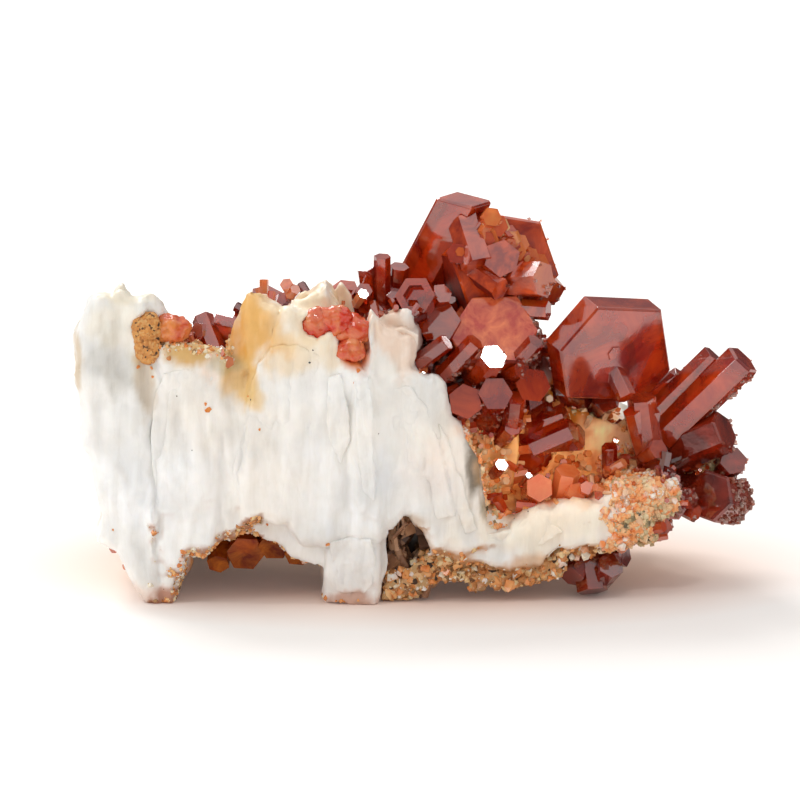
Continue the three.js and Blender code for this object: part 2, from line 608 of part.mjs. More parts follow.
// Cuts a group of pieces clear of the earlier ones; each body left over is its own node.
function addNodes(name, look, solid, grown) {
  let clear = solid.subtract(below(0));
  for (const earlier of placed) {
    clear = clear.subtract(earlier);
  }
  const bodies = bodiesOf(clear);
  for (const [index, body] of bodies.entries()) {
    addMesh(bodies.length > 1 ? `${name}_${index + 1}` : name, look, body);
  }
  if (grown) {
    placed.push(grown);
  }
}

function addPieces(name, look, maker, specs) {
  const solid = joined(specs.map((spec) => maker(spec, 0)));
  const grown = joined(specs.map((spec) => maker(spec, SEAT_GAP)));
  addNodes(name, look, solid, grown);
}

addPieces("big_crystal", VANADINITE, crystalBody, BIG_CRYSTAL);
addPieces("crown_prism", VANADINITE, crystalBody, CROWN_PRISM);
addPieces("crown_barrel", VANADINITE, crystalBody, CROWN_BARREL);
addPieces("centre_cluster", VANADINITE, crystalBody, CENTRE_CLUSTER);
addPieces("open_hexagon", VANADINITE, crystalBody, OPEN_HEXAGON);
addPieces("right_prism", VANADINITE, crystalBody, RIGHT_PRISM);
addPieces("edge_crystal", VANADINITE, crystalBody, EDGE_CRYSTAL);
addPieces("lower_right_crystals", VANADINITE, crystalBody, LOWER_RIGHT);
addPieces("right_rim_crystals", VANADINITE, crystalBody, RIGHT_RIM);
addPieces("hanging_crystals", VANADINITE, crystalBody, HANGING);
addPieces("shelf_crystals", VANADINITE, crystalBody, SHELF_CRYSTALS);
addPieces("dark_middle_crystals", VANADINITE, crystalBody, DARK_MIDDLE);
addPieces("upright_bundle", VANADINITE, crystalBody, UPRIGHT_BUNDLE);
addPieces("small_shelf_prism", VANADINITE, crystalBody, SMALL_SHELF_PRISM);
addPieces("pale_shelf_crystals", PALE_VANADINITE, crystalBody, PALE_SHELF);
addPieces("upper_left_crystals", VANADINITE, crystalBody, UPPER_LEFT);
addPieces("left_wall_crystals", VANADINITE, crystalBody, LEFT_WALL);
addPieces("blade_crystals", VANADINITE, crystalBody, BLADE_CRYSTALS);
addPieces("middle_top_crystals", VANADINITE, crystalBody, MIDDLE_TOP);
addPieces("arch_crystals", VANADINITE, crystalBody, ARCH_CRYSTALS);
addPieces("back_left_crystals", VANADINITE, crystalBody, BACK_LEFT);
addPieces("back_middle_crystals", VANADINITE, crystalBody, BACK_MIDDLE);
addPieces("back_right_crystals", VANADINITE, crystalBody, BACK_RIGHT);
addPieces("left_nodule", BROWN_CRUST, lump, LEFT_NODULE);
addPieces("pink_lump", RED_LUMP, lump, PINK_LUMP);
addPieces("red_nodule", RED_LUMP, lump, RED_NODULE);
addPieces("cavity_flakes", BROWN_CRUST, flake, CAVITY_FLAKES);
addPieces("rim_crust", IRON_CRUST, blade, [RIM_CRUST]);
const barite = joined(BARITE_BLADES.map((spec) => blade(spec, 0)));
addNodes("barite_matrix", BARITE, barite, null);

// The origin goes to the middle of the specimen's footprint.
const box = new THREE.Box3().setFromObject(group);
const centre = box.getCenter(new THREE.Vector3());
for (const node of group.children) {
  node.geometry.translate(-centre.x, -centre.y, -box.min.z);
}

export default group;
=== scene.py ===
import bpy
import json
import math
import random
import numpy as np
from mathutils import Matrix, Vector, noise
from mathutils.kdtree import KDTree

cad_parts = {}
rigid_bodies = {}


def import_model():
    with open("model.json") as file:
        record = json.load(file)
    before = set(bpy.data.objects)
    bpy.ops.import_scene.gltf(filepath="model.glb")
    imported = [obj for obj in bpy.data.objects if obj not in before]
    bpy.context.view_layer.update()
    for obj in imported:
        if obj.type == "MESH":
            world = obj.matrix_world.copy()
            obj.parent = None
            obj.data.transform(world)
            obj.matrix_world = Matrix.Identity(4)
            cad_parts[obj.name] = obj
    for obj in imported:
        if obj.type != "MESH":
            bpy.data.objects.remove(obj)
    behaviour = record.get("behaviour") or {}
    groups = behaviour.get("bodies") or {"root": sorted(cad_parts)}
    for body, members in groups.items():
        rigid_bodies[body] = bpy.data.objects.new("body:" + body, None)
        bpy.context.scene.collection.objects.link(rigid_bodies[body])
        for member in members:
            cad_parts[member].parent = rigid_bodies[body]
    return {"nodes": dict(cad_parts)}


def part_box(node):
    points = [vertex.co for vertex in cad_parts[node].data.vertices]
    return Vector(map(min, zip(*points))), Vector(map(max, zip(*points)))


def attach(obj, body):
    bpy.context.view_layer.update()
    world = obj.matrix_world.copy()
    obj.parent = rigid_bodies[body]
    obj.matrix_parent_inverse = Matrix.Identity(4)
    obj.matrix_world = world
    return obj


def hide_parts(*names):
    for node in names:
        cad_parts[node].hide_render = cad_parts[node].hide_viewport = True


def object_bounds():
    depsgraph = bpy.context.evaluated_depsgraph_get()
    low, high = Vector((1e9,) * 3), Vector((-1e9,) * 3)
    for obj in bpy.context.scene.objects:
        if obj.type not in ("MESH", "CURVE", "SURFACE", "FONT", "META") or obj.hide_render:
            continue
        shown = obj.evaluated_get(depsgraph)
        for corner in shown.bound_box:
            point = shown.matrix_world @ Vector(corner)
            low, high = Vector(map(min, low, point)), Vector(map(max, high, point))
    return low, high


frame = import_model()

cad_low, cad_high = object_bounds()
bpy.ops.object.select_all(action="DESELECT")

# The matrix: white barite that grew as thick upright blades side by side, with the shelf,
# the feet and the bed under the crystals. Waxy, fibrous from top to bottom, and stained
# yellow to rust where iron water ran over it.
MM = 0.001
matrix_low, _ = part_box("barite_matrix")


def edit_all(piece):
    """Makes the piece the only one chosen and opens its whole mesh for editing."""
    bpy.ops.object.select_all(action="DESELECT")
    bpy.context.view_layer.objects.active = piece
    piece.select_set(True)
    bpy.ops.object.mode_set(mode="EDIT")
    bpy.ops.mesh.select_all(action="SELECT")


def new_object(name, data):
    """An object in the scene with that mesh, light or camera, or an empty one."""
    made = bpy.data.objects.new(name, data)
    bpy.context.scene.collection.objects.link(made)
    return made


def copy_of_node(source, name):
    """A new object with the node's mesh, its loose triangles merged into one closed skin."""
    piece = new_object(name, frame["nodes"][source].data.copy())
    piece.data.materials.clear()
    edit_all(piece)
    bpy.ops.mesh.remove_doubles(threshold=0.002 * MM)
    bpy.ops.object.mode_set(mode="OBJECT")
    return piece


def apply_modifiers(piece):
    bpy.context.view_layer.objects.active = piece
    for modifier in list(piece.modifiers):
        bpy.ops.object.modifier_apply(modifier=modifier.name)


def add_remesh(piece, voxel):
    remesh = piece.modifiers.new("voxels", "REMESH")
    remesh.mode = "VOXEL"
    remesh.voxel_size = voxel
    remesh.use_smooth_shade = True


def add_softening(piece, factor, iterations):
    softening = piece.modifiers.new("softening", "SMOOTH")
    softening.factor = factor
    softening.iterations = iterations


def add_relief(piece, label, kind, size, height, stretch=None, level=0.5):
    """Pushes the surface in and out by a pattern of that size, stretched if asked."""
    pattern = bpy.data.textures.new(label, kind)
    pattern.noise_scale = size
    if kind == "CLOUDS":
        pattern.noise_depth = 2
    if kind == "MUSGRAVE":
        pattern.musgrave_type = "RIDGED_MULTIFRACTAL"
    relief = piece.modifiers.new(label, "DISPLACE")
    relief.texture = pattern
    relief.strength = height
    relief.mid_level = level
    relief.texture_coords = "LOCAL"
    if stretch:
        guide = new_object(label + "_guide", None)
        guide.scale = stretch
        relief.texture_coords = "OBJECT"
        relief.texture_coords_object = guide
        bpy.context.view_layer.update()


def remove_guides():
    for guide in [o for o in bpy.data.objects if o.name.endswith("_guide")]:
        bpy.data.objects.remove(guide)


def points_of(piece, key="co"):
    """Where the piece's vertices are, or which way they face when the key is normal."""
    flat = np.zeros(len(piece.data.vertices) * 3)
    piece.data.vertices.foreach_get(key, flat)
    return flat.reshape(-1, 3)


def in_mm(points):
    """Distances from the left end, from the front and up, in mm."""
    return (points - np.array(matrix_low)) / MM


def move_points(piece, points):
    piece.data.vertices.foreach_set("co", points.ravel())
    piece.data.update()


def rest_on_floor(piece):
    """No part of the piece reaches below the surface that the specimen stands on."""
    points = points_of(piece)
    points[:, 2] = np.maximum(points[:, 2], 0.0)
    move_points(piece, points)


matrix = copy_of_node("barite_matrix", "matrix_barite")
add_remesh(matrix, 0.31 * MM)
add_softening(matrix, 0.5, 1)
add_relief(matrix, "broad_waves", "CLOUDS", 3.6 * MM, 0.7 * MM)
add_relief(matrix, "columns", "VORONOI", 2.2 * MM, 0.7 * MM, stretch=(1.0, 2.0, 6.0))
add_relief(matrix, "crests", "MUSGRAVE", 2.0 * MM, 0.22 * MM, stretch=(1.0, 1.6, 3.0))
add_relief(matrix, "flutes", "CLOUDS", 0.8 * MM, 0.4 * MM, stretch=(1.0, 1.6, 4.5))
add_relief(matrix, "fine_grain", "CLOUDS", 0.4 * MM, 0.22 * MM)
apply_modifiers(matrix)
remove_guides()


def smooth_share(value):
    value = np.clip(value, 0, 1)
    return value * value * (3 - 2 * value)


# The seams between the blades on the front, each a line of (height, distance from the left
# end) in mm, and how far each blade stands proud at its left and its right side.
SEAMS = [
    [(4.0, 7.0), (7.5, 7.2), (12.1, 6.8), (16.6, 6.9), (18.9, 7.9), (24.5, 6.3)],
    [(6.6, 12.4), (13.9, 12.7), (18.5, 13.0), (24.0, 14.0)],
    [(5.5, 23.9), (11.0, 23.8), (15.0, 22.9), (21.0, 22.5)],
    [(3.0, 26.8), (9.0, 26.9), (13.9, 26.4), (21.2, 26.2)],
    [(4.0, 32.0), (9.0, 31.5), (14.0, 30.6), (20.0, 29.5)],
    [(5.0, 34.2), (9.0, 33.6), (14.0, 32.4), (17.0, 31.4)],
]
PROUD = [
    (0.0, 0.45), (-0.35, 0.35), (-0.3, 0.25), (-0.1, 0.55),
    (-0.45, 0.2), (-0.15, 0.25), (-0.1, 0.2)]
SEAM_SOFTNESS = 0.35

points = points_of(matrix)
facing_front = smooth_share(-1.6 * points_of(matrix, "normal")[:, 1])
from_left, from_front, height = in_mm(points).T
edges = [np.full(len(points), -1.0)]
for seam in SEAMS:
    heights, places = zip(*seam)
    edges.append(np.interp(height, heights, places) + 0.12 * np.sin(1.9 * height + places[0]))
edges.append(np.full(len(points), 40.0))
proud = np.zeros(len(points))
for index, (at_left, at_right) in enumerate(PROUD):
    left, right = edges[index], edges[index + 1]
    inside = (
        smooth_share((from_left - left) / SEAM_SOFTNESS + 0.5)
        * smooth_share((right - from_left) / SEAM_SOFTNESS + 0.5))
    along = np.clip((from_left - left) / (right - left), 0, 1)
    proud += inside * (at_left + (at_right - at_left) * along)
proud *= 0.75 + 0.25 * np.sin(0.7 * height + 0.4 * from_left)
proud *= (from_front < 6.0) * (height > 2.0)
points[:, 1] -= proud * facing_front * MM
# The front of the shelf hangs over its crust in the middle.
hang = np.exp(-((from_left - 41.3) / 3.2) ** 2) * smooth_share((9.0 - height) / 4.0)
points[:, 2] -= 1.4 * hang * smooth_share((8.0 - from_front) / 3.0) * (height > 2.0) * MM
# The foot of the pillar narrows towards the floor.
taper = np.clip(1 - height / 4.5, 0, 1) * np.clip((9.5 - from_left) / 6.0, 0, 1)
points[:, 0] += 1.5 * taper * (from_front < 8.0) * MM
move_points(matrix, points)
rest_on_floor(matrix)

crystal_nodes = [n for n in sorted(frame["nodes"]) if n not in (
    "barite_matrix", "rim_crust", "left_nodule", "pink_lump", "red_nodule", "cavity_flakes")]


def spots_on(piece, count, seed, keep):
    """Random points on the piece with their outward directions, where keep says yes."""
    dice = np.random.default_rng(seed)
    mesh = piece.data
    mesh.calc_loop_triangles()
    corners = np.zeros(len(mesh.loop_triangles) * 3, int)
    mesh.loop_triangles.foreach_get("vertices", corners)
    corners = points_of(piece)[corners.reshape(-1, 3)]
    cross = np.cross(corners[:, 1] - corners[:, 0], corners[:, 2] - corners[:, 0])
    area = np.linalg.norm(cross, axis=1) / 2
    outward = cross / np.maximum(2 * area, 1e-20)[:, None]
    weight = area * keep(corners.mean(axis=1), outward)
    chosen = dice.choice(len(area), size=count, p=weight / weight.sum())
    u = dice.random((count, 1))
    v = dice.random((count, 1))
    flip = (u + v) > 1
    u, v = np.where(flip, 1 - u, u), np.where(flip, 1 - v, v)
    a, b, c = corners[chosen, 0], corners[chosen, 1], corners[chosen, 2]
    return a + u * (b - a) + v * (c - a), outward[chosen]


def everywhere(points, outward):
    return np.ones(len(points))


crystal_points = np.vstack([
    spots_on(frame["nodes"][name], 500, 5, everywhere)[0] for name in crystal_nodes])
matrix_points = points_of(matrix)
crystal_tree = KDTree(len(crystal_points))
for index, point in enumerate(crystal_points):
    crystal_tree.insert(point, index)
crystal_tree.balance()
distance_to_crystal = np.array([crystal_tree.find(p)[2] for p in matrix_points]) / MM

BARITE_WHITE = (0.93, 0.915, 0.88)
# Marks on the front of the matrix, in mm from the left end, the front and the floor:
# middle, half widths, colour, strength. Most are stains; one is painted light.
STAINS_AND_PAINTED_LIGHT = [
    ((3.2, 1.0, 21.2), (2.6, 4.0, 2.8), (0.50, 0.48, 0.42), 0.5),
    ((3.6, 1.0, 25.0), (3.6, 4.0, 2.4), (0.86, 0.78, 0.58), 0.35),
    ((6.4, 1.0, 19.8), (0.9, 4.0, 3.0), (0.52, 0.38, 0.22), 0.6),
    ((0.4, 1.5, 22.0), (0.5, 6.0, 3.4), (0.55, 0.36, 0.14), 0.6),
    ((4.0, 3.0, 28.0), (5.0, 9.0, 1.0), (0.80, 0.68, 0.46), 0.5),
    ((19.5, 1.0, 22.4), (4.4, 3.0, 2.0), (0.90, 0.74, 0.52), 0.75),
    ((21.5, 5.5, 27.5), (3.6, 3.0, 2.2), (0.88, 0.62, 0.40), 0.75),
    ((41.5, 1.5, 7.4), (8.0, 3.0, 3.4), (1.0, 0.93, 0.80), 0.85),
    ((31.0, 1.5, 12.5), (2.4, 3.0, 3.0), (0.95, 0.82, 0.74), 0.5),
    ((6.0, 3.0, 0.6), (5.0, 6.0, 1.2), (0.86, 0.58, 0.44), 0.4),
    ((8.6, 3.0, 0.6), (2.6, 4.0, 1.2), (0.42, 0.14, 0.06), 0.8),
    ((10.3, 1.0, 22.9), (3.6, 5.0, 1.5), (0.66, 0.38, 0.07), 0.9),
    ((14.6, 1.0, 20.3), (1.9, 4.0, 2.6), (0.90, 0.58, 0.18), 0.8),
    ((15.7, 1.0, 25.4), (3.2, 5.0, 3.4), (0.86, 0.48, 0.11), 0.95),
    ((14.3, 1.0, 24.6), (0.9, 4.0, 2.6), (0.76, 0.34, 0.05), 0.7),
    ((18.3, 1.0, 27.3), (1.7, 4.0, 1.3), (0.96, 0.82, 0.62), 0.8),
    ((21.5, 1.0, 26.0), (5.0, 7.0, 2.6), (0.92, 0.74, 0.48), 0.7),
    ((28.0, 2.0, 24.0), (2.6, 4.0, 3.4), (0.86, 0.62, 0.46), 0.7),
    ((24.7, 1.6, 22.4), (1.1, 3.0, 2.0), (0.75, 0.22, 0.03), 0.95),
    ((16.0, 0.8, 18.6), (1.1, 3.0, 1.2), (0.90, 0.62, 0.24), 0.6),
    ((13.2, 0.8, 21.6), (1.6, 3.0, 1.0), (0.42, 0.40, 0.22), 0.45),
    ((30.0, 1.5, 7.6), (1.6, 3.0, 0.8), (0.62, 0.44, 0.28), 0.6),
    ((24.4, 3.0, 0.4), (3.0, 6.0, 1.0), (0.55, 0.28, 0.18), 0.8),
    ((35.0, 3.0, 12.4), (0.9, 3.0, 4.6), (0.12, 0.09, 0.05), 0.9),
    ((35.7, 3.6, 9.6), (0.7, 3.0, 2.4), (0.20, 0.15, 0.05), 0.8),
    # painted bounce light: the lower front of the wall made whiter, as if lit from the floor
    ((15.0, 1.0, 10.5), (15.0, 4.0, 5.0), (0.97, 0.97, 0.965), 0.8),
    ((39.5, 6.5, 13.5), (4.5, 4.0, 4.0), (1.0, 0.50, 0.14), 0.92),
    # near black deep inside the small cavity beside the middle foot
    ((29.6, 7.0, 4.0), (4.0, 3.4, 5.2), (0.05, 0.03, 0.02), 0.97),
    ((37.0, 5.5, 11.0), (3.2, 3.6, 3.6), (0.60, 0.32, 0.10), 0.9),
    ((43.0, 6.0, 11.5), (4.6, 4.2, 3.0), (1.0, 0.60, 0.28), 0.95),
    ((46.5, 8.5, 13.2), (4.8, 5.0, 2.6), (1.0, 0.62, 0.32), 0.95),
    ((44.0, 9.5, 16.3), (4.4, 4.6, 1.9), (0.62, 0.20, 0.012), 0.97),
    ((51.0, 7.0, 12.6), (1.6, 3.0, 2.4), (0.85, 0.62, 0.28), 0.9),
    ((50.8, 4.5, 9.6), (2.6, 4.0, 2.4), (0.95, 0.64, 0.34), 0.9),
    ((44.0, 2.2, 9.6), (8.0, 2.0, 1.0), (0.92, 0.74, 0.56), 0.6),
    ((49.2, 2.2, 6.8), (2.6, 3.0, 3.0), (0.86, 0.48, 0.24), 0.85),
    ((42.0, 2.5, 3.4), (9.0, 3.0, 1.0), (0.74, 0.42, 0.20), 0.7),
]

front_place = in_mm(matrix_points)
from_left, from_front, height = front_place.T


def mixed(first, second, share):
    """The first colour where the share is 0, the second where it is 1."""
    share = share[:, None]
    return np.array(first) * (1 - share) + np.array(second) * share


def wobble(place, wave):
    """Cloudy noise round 0, with waves that long in mm, longer from top to bottom."""
    return np.array([
        noise.fractal(Vector((x, y, 0.6 * z)) / wave, 0.8, 2.1, 4) for x, y, z in place])


def add_stains_and_painted_light(colours, place):
    uneven = wobble(place, 2.2)
    for middle, widths, colour, strength in STAINS_AND_PAINTED_LIGHT:
        away = np.linalg.norm((place - np.array(middle)) / np.array(widths), axis=1)
        share = strength * smooth_share((1.25 - away + 0.55 * uneven) / 0.8)
        colours[:, :3] = mixed(colours[:, :3], colour, share)


def keep_colours(piece, colours):
    attribute = piece.data.attributes.new("stain_and_painted_light", "FLOAT_COLOR", "POINT")
    attribute.data.foreach_set("color", colours.ravel())


rgba = np.ones((len(matrix_points), 4))
# Away from the clean front the barite is duller: cream, with greyer clouds.
CREAM = (0.82, 0.785, 0.72)
GREY_CLOUD = (0.62, 0.56, 0.46)
aged = mixed(CREAM, GREY_CLOUD, smooth_share(0.35 + wobble(front_place + 20.0, 3.4)))
rgba[:, :3] = mixed(BARITE_WHITE, aged, smooth_share((from_front - 5.5) / 3.0))
# Rust round the crystals, less of it on the front.
rust_share = smooth_share(1.25 - distance_to_crystal / 1.9 + 0.5 * wobble(front_place, 1.6))
rust_share = rust_share * (0.35 + 0.65 * smooth_share((from_front - 3.0) / 2.0))
# The stained bed behind the shelf: where it starts, and how it fades out towards the back.
bed_share = smooth_share((from_left - 29.5) / 2.0) * smooth_share((from_front - 4.2) / 1.2)
bed_share = bed_share * smooth_share((height - 6.0) / 2.0)
bed_share = bed_share * smooth_share((14.5 - from_front + 3.0 * wobble(front_place, 3.0)) / 2.5)
rust_share = np.maximum(rust_share, 0.92 * bed_share)
# It is dark close to the crystals, more so high up, and amber further away.
RUST = (0.22, 0.030, 0.008)
LOW_RUST = (0.66, 0.22, 0.06)
AMBER = (1.0, 0.46, 0.12)
near_colour = mixed(LOW_RUST, RUST, smooth_share((height - 12.5) / 3.0))
further = smooth_share(distance_to_crystal / 1.8)
further = np.where(from_left < 29, further, further * smooth_share((17.2 - height) / 1.5))
rgba[:, :3] = mixed(rgba[:, :3], mixed(near_colour, AMBER, further), rust_share)
add_stains_and_painted_light(rgba, front_place)
mottle = np.clip(wobble(front_place + 40.0, 1.1), -1, 1)[:, None] * bed_share[:, None]
rgba[:, :3] = np.clip(rgba[:, :3] * (1 + mottle * np.array((0.3, 0.55, 0.6))), 0.01, 0.98)
# The undersides of the arch and of the shelf are rusty.
underside = smooth_share(-1.6 * points_of(matrix, "normal")[:, 2] - 0.1) * (from_front < 14.0)
under_arch = underside * (from_left > 6.5) * (from_left < 22.0) * (height < 9.5)
under_arch = under_arch * ((from_left < 16.5) + (from_front > 3.6))
under_shelf = underside * (from_left > 30.0) * (height < 7.0)
for share, colour in ((under_arch, (0.42, 0.16, 0.06)), (under_shelf, (0.55, 0.28, 0.12))):
    rgba[:, :3] = mixed(rgba[:, :3], colour, share)
keep_colours(matrix, rgba)


def new_material(label, values):
    """A material with those values on its shader, with its node tree and its shader."""
    material = bpy.data.materials.new(label)
    material.use_nodes = True
    shader = material.node_tree.nodes["Principled BSDF"]
    for socket, value in values.items():
        shader.inputs[socket].default_value = value
    return material, material.node_tree, shader


def node(tree, kind, values={}, feeds={}, **settings):
    """A node with those settings, values on its sockets and outputs that feed them."""
    made = tree.nodes.new("ShaderNode" + kind)
    for name, setting in settings.items():
        setattr(made, name, setting)
    for socket, value in values.items():
        made.inputs[socket].default_value = value
    for socket, source in feeds.items():
        tree.links.new(source, made.inputs[socket])
    return made


def ramp(tree, source, stops):
    """The colour that those (position, colour) stops give for the source."""
    made = node(tree, "ValToRGB", {}, {"Fac": source})
    elements = made.color_ramp.elements
    for element, (position, colour) in zip(elements, (stops[0], stops[-1])):
        element.position = position
        element.color = (*colour, 1)
    for position, colour in stops[1:-1]:
        elements.new(position).color = (*colour, 1)
    return made.outputs["Color"]


def even_stops(colours):
    return [(step / (len(colours) - 1), colour) for step, colour in enumerate(colours)]


def add_bump(tree, shader, height, strength, distance, invert=False):
    bump = node(
        tree, "Bump", {"Strength": strength, "Distance": distance}, {"Height": height},
        invert=invert)
    tree.links.new(bump.outputs["Normal"], shader.inputs["Normal"])


barite, tree, shader = new_material("waxy_white_barite", {
    "Roughness": 0.42, "IOR": 1.64, "Subsurface Weight": 0.3,
    "Subsurface Radius": (1.0, 0.85, 0.7), "Subsurface Scale": 0.4 * MM})
place = node(tree, "TexCoord").outputs["Object"]


def upright(squeeze, turn=0.0):
    """The place squeezed in height, so that a pattern runs long from top to bottom."""
    values = {"Scale": (1.0, 1.0, squeeze), "Rotation": (0.0, turn, 0.0)}
    return {"Vector": node(tree, "Mapping", values, {"Vector": place}).outputs["Vector"]}


fibre = node(tree, "TexNoise", {"Scale": 700.0, "Detail": 5.0, "Roughness": 0.6}, upright(0.3))
cloud = node(tree, "TexNoise", {"Scale": 230.0, "Detail": 4.0}, {"Vector": place})
haze = node(tree, "TexNoise", {"Scale": 95.0, "Detail": 3.0}, {"Vector": place})
streaks = node(
    tree, "TexNoise", {"Scale": 900.0, "Detail": 6.0, "Roughness": 0.65, "Distortion": 0.4},
    upright(0.16))
cracks = node(
    tree, "TexVoronoi", {"Scale": 420.0}, upright(0.14, 0.12), feature="DISTANCE_TO_EDGE")
PLAIN = (1, 1, 1)
TONES = [
    (cloud.outputs["Fac"], [(0.36, (0.87, 0.875, 0.88)), (0.56, PLAIN)], 0.9),
    (haze.outputs["Fac"], [(0.46, PLAIN), (0.74, (1.0, 0.93, 0.85))], 0.8),
    (streaks.outputs["Fac"], [(0.34, (0.88, 0.865, 0.84)), (0.55, PLAIN)], 0.6),
    (cracks.outputs["Distance"], [(0.0, (0.90, 0.89, 0.87)), (0.03, PLAIN)], 0.2),
]
colour_so_far = node(tree, "Attribute", attribute_name="stain_and_painted_light").outputs["Color"]
for source, stops, strength in TONES:
    toned = node(
        tree, "Mix", {"Factor": strength}, {"A": colour_so_far, "B": ramp(tree, source, stops)},
        data_type="RGBA", blend_type="MULTIPLY")
    colour_so_far = toned.outputs["Result"]
# Fine black specks: small dots in one cell out of ten.
dots = node(tree, "TexVoronoi", {"Scale": 330.0}, {"Vector": place})
chance = node(tree, "SeparateColor", {}, {"Color": dots.outputs["Color"]})
few = node(tree, "Math", {1: 0.9}, {0: chance.outputs["Red"]}, operation="GREATER_THAN")
small = node(tree, "Math", {1: 0.06}, {0: dots.outputs["Distance"]}, operation="LESS_THAN")
speck = node(
    tree, "Math", {}, {0: few.outputs["Value"], 1: small.outputs["Value"]}, operation="MULTIPLY")
specked = node(
    tree, "Mix", {"B": (0.03, 0.025, 0.02, 1)},
    {"Factor": speck.outputs["Value"], "A": colour_so_far}, data_type="RGBA")
tree.links.new(specked.outputs["Result"], shader.inputs["Base Color"])
add_bump(tree, shader, fibre.outputs["Fac"], 0.5, 0.16 * MM)
matrix.data.materials.append(barite)
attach(matrix, "root")
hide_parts("barite_matrix")

# Thin sharp blades of the same barite that stand up from the wall: the fin, the peaks and
# the upright ridge. They are clearer than the wall and break off in straight edges.


def slab(corners, back):
    """A closed slab with those front corners, in mm, that goes back that far."""
    mesh = bpy.data.meshes.new("blade")
    mesh.from_pydata(
        [tuple(c * MM for c in corner) for corner in corners], [], [tuple(range(len(corners)))])
    blade = new_object("blade", mesh)
    edit_all(blade)
    bpy.ops.mesh.extrude_region_move(TRANSFORM_OT_translate={"value": (0, back * MM, 0)})
    bpy.ops.mesh.select_all(action="SELECT")
    bpy.ops.mesh.normals_make_consistent(inside=False)
    bpy.ops.mesh.quads_convert_to_tris()
    bpy.ops.mesh.subdivide(number_cuts=3)
    bpy.ops.object.mode_set(mode="OBJECT")
    return blade


left_end, front_end = matrix_low.x / MM, matrix_low.y / MM


def standing_blade(outline, front, thick, lean):
    return slab(
        [(left_end + x, front_end + front + lean * (z - outline[0][1]), z) for x, z in outline],
        thick)


def on_the_wall(from_left, height):
    """The point of the front of the matrix at that place, and its outward direction."""
    start = Vector((matrix_low.x + from_left * MM, matrix_low.y - 5 * MM, height * MM))
    _, point, outward, _ = matrix.ray_cast(start, Vector((0, 1, 0)))
    return point, outward


def wall_blade(outline):
    """A sheet that lies on the wall; each corner says how far it stands proud of it."""
    corners = []
    for x, z, proud_by in outline:
        point, _ = on_the_wall(x, z)
        corners.append((left_end + x, point.y / MM - proud_by, z))
    return slab(corners, 1.3)


# Outlines of (from the left end, up) in mm; how far back, how thick, how much they lean.
STANDING_BLADES = [
    ([(25.3, 19.0), (25.5, 22.6), (25.9, 26.4), (26.6, 25.5), (27.6, 24.4), (28.9, 24.6),
      (30.1, 24.0), (29.9, 22.2), (29.3, 20.6), (29.5, 18.6)], 2.4, 0.9, -0.02),
    ([(18.3, 23.0), (18.9, 26.4), (20.2, 27.4), (21.3, 27.2), (22.0, 28.4), (23.1, 26.6),
      (23.8, 23.0)], 4.6, 0.8, 0.0),
    ([(22.3, 23.4), (22.5, 26.8), (23.4, 27.9), (24.3, 26.9), (24.9, 23.6)], 5.8, 0.7, 0.02),
    ([(3.3, 25.0), (3.5, 27.6), (4.3, 28.4), (5.0, 27.4), (5.2, 25.0)], 2.9, 1.2, 0.0),
]
# Outlines of (from the left end, up, proud of the wall) in mm.
WALL_BLADES = [
    [(8.0, 20.8, 0.25), (7.2, 19.0, 0.4), (6.9, 17.0, 0.45), (6.8, 14.5, 0.4), (7.0, 11.0, 0.3),
     (7.4, 8.4, 0.1), (9.4, 7.4, -0.2), (12.0, 8.4, -0.3), (12.6, 12.0, -0.3), (12.9, 17.0, -0.3),
     (12.8, 20.6, -0.2), (11.0, 21.4, 0.0), (9.2, 21.2, 0.15)],
    [(17.4, 23.4, 0.35), (16.3, 21.8, 0.45), (15.7, 20.2, 0.4), (15.6, 18.6, 0.35),
     (14.9, 16.0, 0.25), (13.9, 12.0, 0.1), (15.0, 9.0, -0.2), (20.0, 9.0, -0.3),
     (22.0, 11.0, -0.3), (22.1, 15.0, -0.3), (21.4, 20.0, -0.2), (21.8, 22.6, -0.1),
     (19.6, 23.6, 0.2)],
    [(22.3, 20.7, 0.2), (23.4, 21.0, 0.4), (24.0, 18.0, 0.45), (24.3, 15.5, 0.3), (23.4, 12.8, 0.0),
     (22.6, 14.5, 0.1), (22.1, 17.5, 0.25)],
    [(24.5, 20.4, 0.3), (25.9, 20.9, 0.7), (26.2, 18.0, 0.8), (26.25, 15.0, 0.7),
     (26.35, 12.0, 0.45), (26.4, 9.6, 0.2), (25.2, 10.6, 0.0), (24.9, 13.5, 0.1),
     (24.8, 16.0, 0.25), (24.6, 18.5, 0.25)],
    [(27.2, 19.4, -0.3), (29.4, 19.9, 0.1), (30.9, 18.0, 0.25), (31.9, 15.0, 0.3),
     (32.6, 11.5, 0.3), (33.4, 8.2, 0.2), (31.4, 7.8, -0.2), (29.0, 9.5, -0.4),
     (27.6, 12.5, -0.4)],
    [(31.9, 16.6, 0.1), (32.7, 15.2, 0.4), (33.6, 12.4, 0.45), (34.5, 9.4, 0.45), (35.4, 6.8, 0.2),
     (34.2, 6.4, 0.0), (33.4, 9.4, 0.1), (32.6, 12.8, 0.15)],
    [(22.3, 5.9, 0.0), (24.2, 6.3, 0.15), (26.0, 6.2, 0.3), (26.5, 4.5, 0.35), (26.2, 1.9, 0.3),
     (25.4, 1.0, 0.2), (22.9, 1.2, 0.0), (22.6, 3.5, 0.0)],
    [(36.0, 6.3, -0.2), (38.2, 6.6, 0.15), (40.6, 8.3, 0.25), (43.0, 9.2, 0.25), (45.6, 9.6, 0.2),
     (46.0, 7.6, 0.2), (43.0, 6.4, 0.1), (39.6, 4.6, -0.2), (37.0, 4.6, -0.3)],
]
blades = [standing_blade(*spec) for spec in STANDING_BLADES]
blades += [wall_blade(outline) for outline in WALL_BLADES]
bpy.ops.object.select_all(action="DESELECT")
